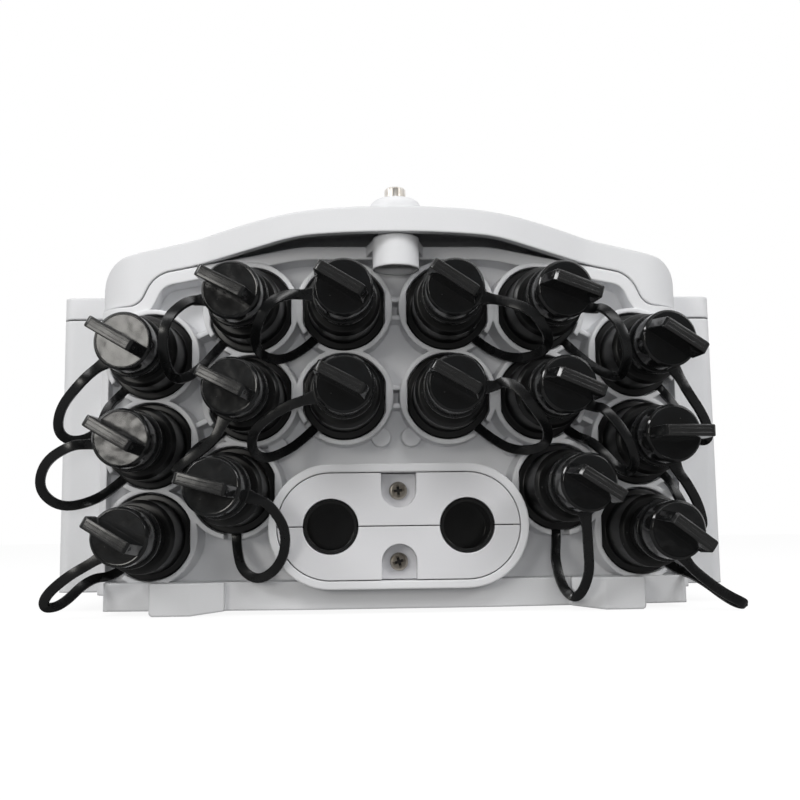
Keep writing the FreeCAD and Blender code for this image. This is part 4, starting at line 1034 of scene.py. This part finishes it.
@dataclass
class CapTethers:
    """Moulded tethers: washer behind the flange, strap, and ring in the cap's groove."""

    washer_bore: float = 9.9
    washer_wall: float = 3.2
    washer_thickness: float = 1.8
    washer_middle: float = -4.2
    collar_radius: float = 15.75
    thickness: float = 1.3
    width: float = 3.0
    outstand: float = 3.2
    ring_bore: float = 8.0
    ring_wall: float = 1.6
    ring_reach: float = 21.0
    flare: float = 0.45
    flare_reach: float = 2.6
    ring_edge: float = 0.4
    edge: float = 0.22
    round_steps: int = 3
    line_steps: int = 9
    crease: float = 40.0

    def ring(self, bore: float, wall: float, middle: float) -> Outline:
        """Profile of a flat ring with rounded edges.

        Args:
            bore: Radius of its hole.
            wall: Width of its face.
            middle: Middle of its thickness, along the port's axis.

        Returns:
            Its points as radius and height.
        """
        low = middle - self.washer_thickness / 2
        high = middle + self.washer_thickness / 2
        corners = [(bore, low), (bore + wall, low), (bore + wall, high), (bore, high)]
        return rounded_corners([(*corner, self.ring_edge) for corner in corners], self.round_steps)

    def section(self) -> Outline:
        """Section of a strap, across its width and its thickness.

        Returns:
            Its points in order.
        """
        half = self.width / 2
        rise = self.thickness / 2
        corners = [(-half, -rise), (half, -rise), (half, rise), (-half, rise)]
        return rounded_corners([(*corner, self.edge) for corner in corners], self.round_steps)

    def route(self, port: Port) -> list[Vector]:
        """Control points of a strap, from its ring to its washer.

        Args:
            port: The strap's port.

        Returns:
            The points, in the port's frame.
        """
        ring_middle = self.ring_bore + self.ring_wall / 2
        ring_edge = self.ring_bore + self.ring_wall
        washer_edge = self.washer_bore + self.washer_wall
        return [
            around(port.tab_turn, ring_middle, self.ring_reach),
            around(port.tab_turn, ring_edge + self.outstand, self.ring_reach),
            *(Vector(point) for point in port.route),
            around(port.slot_turn, self.collar_radius + self.washer_thickness, self.washer_middle),
            around(port.slot_turn, washer_edge - self.thickness / 2, self.washer_middle),
        ]

    def centreline(self, points: Sequence[Vector]) -> list[Vector]:
        """Smooth line with these control points.

        Args:
            points: Control points of a spline of order 3 that starts and ends at its end points.

        Returns:
            Points along the spline.
        """
        curve = bpy.data.curves.new("tether_line", "CURVE")
        curve.dimensions = "3D"
        curve.resolution_u = self.line_steps
        spline = curve.splines.new("NURBS")
        spline.points.add(len(points) - 1)
        for control, point in zip(spline.points, points):
            control.co = (*point, 1.0)
        spline.order_u = 3
        spline.use_endpoint_u = True
        carrier = bpy.data.objects.new("tether_line", curve)
        mesh = bpy.data.meshes.new_from_object(carrier)
        line = [vertex.co.copy() for vertex in mesh.vertices]
        bpy.data.objects.remove(carrier)
        bpy.data.meshes.remove(mesh)
        bpy.data.curves.remove(curve)
        return line

    def mesh(self, port: Port) -> bpy.types.Mesh:
        """Tether of one port, its strap flared where it leaves the ring.

        Args:
            port: The port.

        Returns:
            The mesh, in the port's frame.
        """
        draft = Draft(f"tether_{port.name}")
        draft.lathe(self.ring(self.washer_bore, self.washer_wall, self.washer_middle))
        draft.lathe(self.ring(self.ring_bore, self.ring_wall, self.ring_reach))
        line = self.centreline(self.route(port))
        gone = 0.0
        widths = []
        for before, point in zip([line[0], *line], line):
            gone += (point - before).length
            widths.append(1 + self.flare * math.exp(-(gone / self.flare_reach) ** 2))
        draft.sweep(line, self.section(), widths)
        return draft.mesh(crease=self.crease)

    def build(self, finishes: Finishes) -> list[bpy.types.Object]:
        """Put a tether on every port.

        Args:
            finishes: Materials of the slots.

        Returns:
            The tethers.
        """
        tethers = []
        for port in PORTS:
            tether = put(f"tether_{port.name}", self.mesh(port), "base", f"cap_tether_{port.name}", port.frame())
            finishes.dress_piece(tether, Slot.TETHER)
            tethers.append(tether)
        return tethers


@dataclass
class Adapters:
    """Hardened adapters: flange with two flats, barrel, front sleeve and threaded tail with a socket."""

    flange_radius: float = 13.8
    flange_flat: float = 12.9
    flange_back: float = -3.2
    barrel_radius: float = 11.5
    barrel_length: float = 13.0
    barrel_chamfer: float = 1.1
    sleeve_radius: float = 6.8
    sleeve_end: float = 24.0
    sleeve_bore: float = 4.6
    ferrule_radius: float = 2.4
    ferrule_bore: float = 1.25
    tail_radius: float = 9.5
    tail_end: float = -36.0
    thread_depth: float = 0.5
    thread_pitch: float = 1.5
    thread_lead: float = 1.0
    smooth_neck: float = 9.0
    socket: Point = (9.3, 7.4, 3.5)
    sides: int = 96

    def thread(self) -> list[Point]:
        """Draw the tail's thread as rings, up to the smooth neck behind the flange.

        Returns:
            Their crests and roots as sharp corners, ending in a crest.
        """
        turns = []
        height = self.tail_end + self.thread_lead
        while height < self.flange_back - self.smooth_neck - self.thread_pitch:
            turns.append((self.tail_radius, height, Edge.SHARP))
            turns.append((self.tail_radius - self.thread_depth, height + self.thread_pitch / 2, Edge.SHARP))
            height += self.thread_pitch
        return [*turns, (self.tail_radius, height, Edge.SHARP)]

    def profile(self) -> Outline:
        """Turned profile, from the tail round the outside into the sleeve.

        Returns:
            Its points as radius and height.
        """
        shoulder = self.barrel_length - self.barrel_chamfer
        ferrule_end = self.sleeve_end - self.ferrule_radius
        return rounded_corners([
            (0, self.tail_end, Edge.SHARP), (self.tail_radius - self.thread_depth, self.tail_end, Edge.FINE),
            *self.thread(),
            (self.tail_radius, self.flange_back, Edge.SHARP), (self.flange_radius, self.flange_back, Edge.FULL),
            (self.flange_radius, 0, Edge.BROAD), (self.barrel_radius, 0, Edge.WIDE),
            (self.barrel_radius, shoulder, Edge.BROAD),
            (self.barrel_radius - self.barrel_chamfer, self.barrel_length, Edge.FULL),
            (self.sleeve_radius, self.barrel_length, Edge.SOFT), (self.sleeve_radius, self.sleeve_end, Edge.SOFT),
            (self.sleeve_bore, self.sleeve_end, Edge.SOFT), (self.sleeve_bore, self.barrel_length, Edge.SHARP),
            (self.ferrule_radius, self.barrel_length, Edge.SHARP), (self.ferrule_radius, ferrule_end, Edge.FINE),
            (self.ferrule_bore, ferrule_end, Edge.SHARP), (self.ferrule_bore, self.barrel_length, Edge.SHARP),
            (0, self.barrel_length, Edge.SHARP),
        ])

    def mesh(self) -> bpy.types.Mesh:
        """Adapter with the flats of its flange and the socket in its tail.

        Returns:
            The mesh, in the port's frame.
        """
        draft = Draft("adapter")
        draft.lathe(self.profile(), self.sides)
        limit = self.flange_flat * MM
        for vertex in draft.shells[0].data.vertices:
            vertex.co.x = max(-limit, min(limit, vertex.co.x))
        cut = Draft("adapter_socket")
        wide, high, deep = self.socket
        mouth = self.tail_end - CLEAR
        floor = self.tail_end + deep
        outline = [(-wide / 2, mouth), (wide / 2, mouth), (wide / 2, floor), (-wide / 2, floor)]
        cut.slab(outline, -high / 2, high / 2)
        return draft.mesh(cut.shells)

    def build(self, finishes: Finishes) -> list[bpy.types.Object]:
        """Put an adapter in every port.

        Args:
            finishes: Materials of the slots.

        Returns:
            The adapters.
        """
        mesh = self.mesh()
        adapters = []
        for port in PORTS:
            piece = put(f"adapter_body_{port.name}", mesh, "base", f"adapter_{port.name}", port.frame())
            finishes.dress_piece(piece, Slot.ADAPTER)
            adapters.append(piece)
        return adapters


@dataclass
class GlandScrews:
    """Two pan-head screws with cross recesses, in the clamp's pockets; their turns are in radians."""

    seat_y: float = -139.0
    gland_height: float = 26.8
    offset: float = 11.1
    head_radius: float = 2.85
    head_height: float = 1.9
    dome_round: float = 0.85
    shank_radius: float = 1.5
    shank_length: float = 14.4
    tip_taper: float = 0.4
    tip_length: float = 0.8
    recess_reach: float = 2.0
    recess_foot: float = 0.7
    recess_half: float = 0.46
    recess_depth: float = 1.5
    lower_turn: float = 0.31
    upper_turn: float = 0.12
    sides: int = 48
    round_steps: int = 6

    def profile(self) -> Outline:
        """Turned profile: shank, then a domed head.

        Returns:
            Its points as radius and height.
        """
        return rounded_corners([
            (0, -self.shank_length, Edge.SHARP), (self.shank_radius - self.tip_taper, -self.shank_length, Edge.SHARP),
            (self.shank_radius, self.tip_length - self.shank_length, Edge.SHARP), (self.shank_radius, 0, Edge.SHARP),
            (self.head_radius, 0, Edge.KEEN), (self.head_radius, self.head_height, self.dome_round),
            (self.head_radius / 2, self.head_height, Edge.SHARP), (0, self.head_height, Edge.SHARP),
        ], self.round_steps)

    def recess_outline(self) -> Outline:
        """Side view of one arm of the cross, wider at the top of the head than at its foot.

        Returns:
            Its corners across the head and along its axis.
        """
        low = self.head_height - self.recess_depth
        high = self.head_height + CLEAR
        return [
            (-self.recess_foot, low), (self.recess_foot, low), (self.recess_reach, self.head_height),
            (self.recess_reach, high), (-self.recess_reach, high), (-self.recess_reach, self.head_height),
        ]

    def build(self, finishes: Finishes) -> list[bpy.types.Object]:
        """Put the pair of screws into the clamp, in a finish of their own.

        Args:
            finishes: Materials of the slots.

        Returns:
            The pair, as one piece.
        """
        screws = Draft("gland_screw_pair")
        recess = Draft("cross_recess")
        for side, turn in ((-1, self.lower_turn), (1, self.upper_turn)):
            place = Matrix.Translation(Vector((0, side * self.offset, 0)) * MM)
            screws.lathe(self.profile(), self.sides)
            screws.place_last(place)
            for quarter in (0, math.pi / 2):
                recess.slab(self.recess_outline(), -self.recess_half, self.recess_half)
                recess.place_last(place @ Matrix.Rotation(quarter + turn, 4, "Z"))
        seat = Matrix.Translation(Vector((0, self.seat_y, self.gland_height)) * MM)
        mesh = screws.mesh(recess.shells)
        mesh.materials.append(SCREW_FINISH.material())
        frame = seat @ Matrix.Rotation(math.pi / 2, 4, "X")
        pair = put("gland_screw_pair", mesh, "base", "gland_screws", frame)
        finishes.dress_piece(pair, Slot.STEEL)
        return [pair]


@dataclass
class LockBolt:
    """Captive lid bolt with a fluted, slotted head."""

    place: Point = (0.0, -145.0, 130.9)
    tip: float = -16.9
    radius: float = 3.0
    lead: float = 0.6
    head_radius: float = 3.4
    head_height: float = 3.9
    head_chamfer: float = 0.5
    rim: Range = (0.5, 0.7)
    flutes: int = 10
    flute_sides: int = 8
    flute_depth: float = 0.12
    flute_low: float = 0.6
    flute_inner: float = 2.7
    slot_width: float = 1.0
    slot_depth: float = 1.3
    round_steps: int = 3

    def profile(self) -> Outline:
        """Turned profile: shank with a lead, then the head with a rim under its flutes.

        Returns:
            Its points as radius and height.
        """
        rim_low, rim_high = self.rim
        return rounded_corners([
            (0, self.tip, Edge.SHARP), (self.radius - self.lead, self.tip, Edge.SHARP),
            (self.radius, self.tip + self.lead, Edge.SHARP), (self.radius, 0, Edge.SHARP),
            (self.head_radius, 0, Edge.KEEN), (self.head_radius, rim_low, Edge.SHARP),
            (self.head_radius, rim_high, Edge.SHARP),
            (self.head_radius, self.head_height - self.head_chamfer, Edge.SHARP),
            (self.head_radius - self.head_chamfer, self.head_height, Edge.FINE), (0, self.head_height, Edge.SHARP),
        ], self.round_steps)

    def flute(self, vertices: Sequence[bpy.types.MeshVertex]) -> None:
        """Draw the head's side in at its flutes.

        Args:
            vertices: Points of the turned bolt, in metres.
        """
        for vertex in vertices:
            if vertex.co.z > self.flute_low * MM and math.hypot(vertex.co.x, vertex.co.y) > self.flute_inner * MM:
                wave = (1 - math.cos(self.flutes * math.atan2(vertex.co.y, vertex.co.x))) / 2
                shrink = 1 - self.flute_depth / self.head_radius * wave ** 2
                vertex.co.x *= shrink
                vertex.co.y *= shrink

    def build(self, finishes: Finishes) -> list[bpy.types.Object]:
        """Put the bolt into the lid's pad.

        Args:
            finishes: Materials of the slots.

        Returns:
            The bolt.
        """
        bolt = Draft("lid_bolt")
        bolt.lathe(self.profile(), self.flutes * self.flute_sides)
        self.flute(bolt.shells[0].data.vertices)
        slot = Draft("bolt_slot")
        low = self.head_height - self.slot_depth
        high = self.head_height + CLEAR
        wide = self.head_radius + CLEAR
        outline = [(-wide, low), (wide, low), (wide, high), (-wide, high)]
        slot.slab(outline, -self.slot_width / 2, self.slot_width / 2)
        frame = Matrix.Translation(Vector(self.place) * MM)
        piece = put("lid_bolt", bolt.mesh(slot.shells), "lock_bolt", "lock_bolt", frame)
        finishes.dress_piece(piece, Slot.STEEL)
        return [piece]


@dataclass
class Housing:
    """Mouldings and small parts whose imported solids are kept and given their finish."""

    slots: dict[str, Slot] = field(default_factory=lambda: {
        "base_housing": Slot.HOUSING, "lid": Slot.HOUSING, "gland_clamp_upper": Slot.CLAMP,
        "gland_clamp_lower": Slot.CLAMP, "lid_seal": Slot.SEAL, "gland_seal": Slot.SEAL, "hinge_pins": Slot.STEEL,
        "lock_insert": Slot.BRASS, "splice_tray": Slot.TRAY, "adapter_nuts": Slot.ADAPTER,
    })

    def dress(self, nodes: Mapping[str, bpy.types.Object], finishes: Finishes) -> None:
        """Give every kept solid its finish."""
        for name, slot in self.slots.items():
            finishes.dress_node(nodes[name], slot)


@dataclass(frozen=True)
class Lamp:
    """Soft rectangular lamp: its place, the point that it faces and its size in metres, and its power in watts."""

    name: str
    place: Point
    aim: Point
    size: tuple[float, float]
    power: float
    colour: Point = (1.0, 1.0, 1.0)
    mirrored: bool = True

    def build(self) -> None:
        """Add the lamp to the scene."""
        data = bpy.data.lights.new(self.name, "AREA")
        data.shape = "RECTANGLE"
        data.size, data.size_y = self.size
        data.energy = self.power
        data.color = self.colour
        lamp = bpy.data.objects.new(self.name, data)
        lamp.location = self.place
        lamp.rotation_euler = (Vector(self.aim) - Vector(self.place)).to_track_quat("-Z", "Y").to_euler()
        lamp.visible_glossy = self.mirrored
        bpy.context.scene.collection.objects.link(lamp)


# Tube overhead, window and key on the left, broad bounce on the right, and a weak light by the camera
LAMPS = (
    Lamp("overhead", (0.0, -0.85, 1.0), (0, -0.12, 0.06), size=(1.0, 0.20), power=3.3),
    Lamp("window", (-0.59, -1.0, 0.25), (-0.08, -0.16, 0.07), size=(0.28, 0.24), power=1.6, colour=(1.0, 0.98, 0.93)),
    Lamp("key", (-0.86, -0.68, 0.72), (0, -0.15, 0.07), size=(0.26, 0.34), power=3.8),
    Lamp("bounce", (0.90, -0.85, 0.70), (0, -0.15, 0.07), size=(0.45, 0.40), power=5.0),
    Lamp("front", (-0.02, -0.60, 0.04), (0, -0.14, 0.07), size=(0.10, 0.03), power=0.25, mirrored=False),
)


@dataclass
class Studio:
    """White studio: pale floor, soft lamps and the camera of the photograph, its angles in radians."""

    fill: float = 0.12
    fill_high: float = 0.48
    fill_rise: Range = (-0.1, 0.8)
    fill_ahead: float = 0.34
    fill_ahead_power: float = 5
    fill_sides: float = 0.55
    mirrored_ahead: float = 0.05
    room_blend: Range = (-0.35, 0.35)
    floor_colour: float = 0.12
    floor_glow: float = 0.92
    floor_mirrored: float = 0.10
    floor_half: float = 6.0
    floor_drop: float = 0.2
    camera_place: Point = (-15.60, -484.54, 23.88)
    yaw: float = 0.0481
    pitch: float = 0.1239
    roll: float = -0.0133
    lens: float = 48.88
    sensor: float = 36.0
    clip_start: float = 0.01

    def world(self) -> None:
        """White background, with a darker room on the camera's side for reflections, and a soft fill."""
        world = bpy.data.worlds.new("studio")
        bpy.context.scene.world = world
        graph = ShaderGraph(world)
        camera, glossy, through = graph.rays()
        direction = graph.add("ShaderNodeTexCoord").outputs["Generated"]
        parts = graph.add("ShaderNodeSeparateXYZ", None, {0: direction})
        across, along, rise = (Signal(graph, output) for output in parts.outputs)
        behind = along.step(*self.room_blend)
        room = behind * (1 - self.mirrored_ahead) + self.mirrored_ahead
        fill = (1 - behind) * rise.step(*self.fill_rise) * self.fill_high + self.fill
        fill = fill + (along * -1).kept() ** self.fill_ahead_power * self.fill_ahead
        fill = fill + across * across * self.fill_sides
        strength = camera + through + glossy * room + (1 - camera - through - glossy) * fill
        shader = graph.add("ShaderNodeBackground", None, {"Color": grey(1.0), "Strength": strength})
        graph.add("ShaderNodeOutputWorld", None, {"Surface": shader.outputs[0]})

    def floor(self) -> None:
        """Pale floor that is white to the camera and keeps the box's shadow."""
        half = self.floor_half
        mesh = bpy.data.meshes.new("floor")
        mesh.from_pydata([(-half, -half, 0), (half, -half, 0), (half, half, 0), (-half, half, 0)], [], [(0, 1, 2, 3)])
        floor = bpy.data.objects.new("floor", mesh)
        floor.location.z = -self.floor_drop * MM
        bpy.context.scene.collection.objects.link(floor)
        graph = ShaderGraph(bpy.data.materials.new("floor_white"))
        camera, glossy, through = graph.rays()
        seen = (camera + through + glossy * self.floor_mirrored).kept()
        matt = graph.add("ShaderNodeBsdfDiffuse", None, {"Color": grey(self.floor_colour)})
        glow = graph.add("ShaderNodeEmission", None, {"Color": grey(1.0), "Strength": seen * self.floor_glow})
        both = graph.add("ShaderNodeAddShader", None, {0: matt.outputs[0], 1: glow.outputs[0]})
        graph.add("ShaderNodeOutputMaterial", None, {"Surface": both.outputs[0]})
        mesh.materials.append(graph.owner)

    def camera(self) -> None:
        """Camera at the photograph's place and angle."""
        forward = Vector((
            math.sin(self.yaw) * math.cos(self.pitch), math.cos(self.yaw) * math.cos(self.pitch), math.sin(self.pitch),
        ))
        level = Vector((math.cos(self.yaw), -math.sin(self.yaw), 0))
        upright = level.cross(forward)
        right = level * math.cos(self.roll) + upright * math.sin(self.roll)
        up = upright * math.cos(self.roll) - level * math.sin(self.roll)
        data = bpy.data.cameras.new("camera")
        data.lens = self.lens
        data.sensor_width = self.sensor
        data.clip_start = self.clip_start
        camera = bpy.data.objects.new("camera", data)
        turn = Matrix((right, up, -forward)).transposed().to_4x4()
        camera.matrix_world = Matrix.Translation(Vector(self.camera_place) * MM) @ turn
        bpy.context.scene.collection.objects.link(camera)
        bpy.context.scene.camera = camera

    def build(self) -> None:
        """Set up the world, the floor, the lamps and the camera."""
        bpy.context.scene.view_settings.view_transform = "Standard"
        self.world()
        self.floor()
        for lamp in LAMPS:
            lamp.build()
        self.camera()


def main() -> None:
    """Build the studio and dress every piece of the box."""
    logging.basicConfig(level=logging.INFO, format="%(name)s: %(message)s")
    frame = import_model()
    Studio().build()
    finishes = Finishes()
    Housing().dress(frame["nodes"], finishes)
    for family in (Adapters(), CapTethers(), DustCaps(), GlandScrews(), LockBolt()):
        for piece in family.build(finishes):
            LOG.info("%s: %d faces", piece.name, len(piece.data.polygons))


if __name__ == "__main__":
    main()
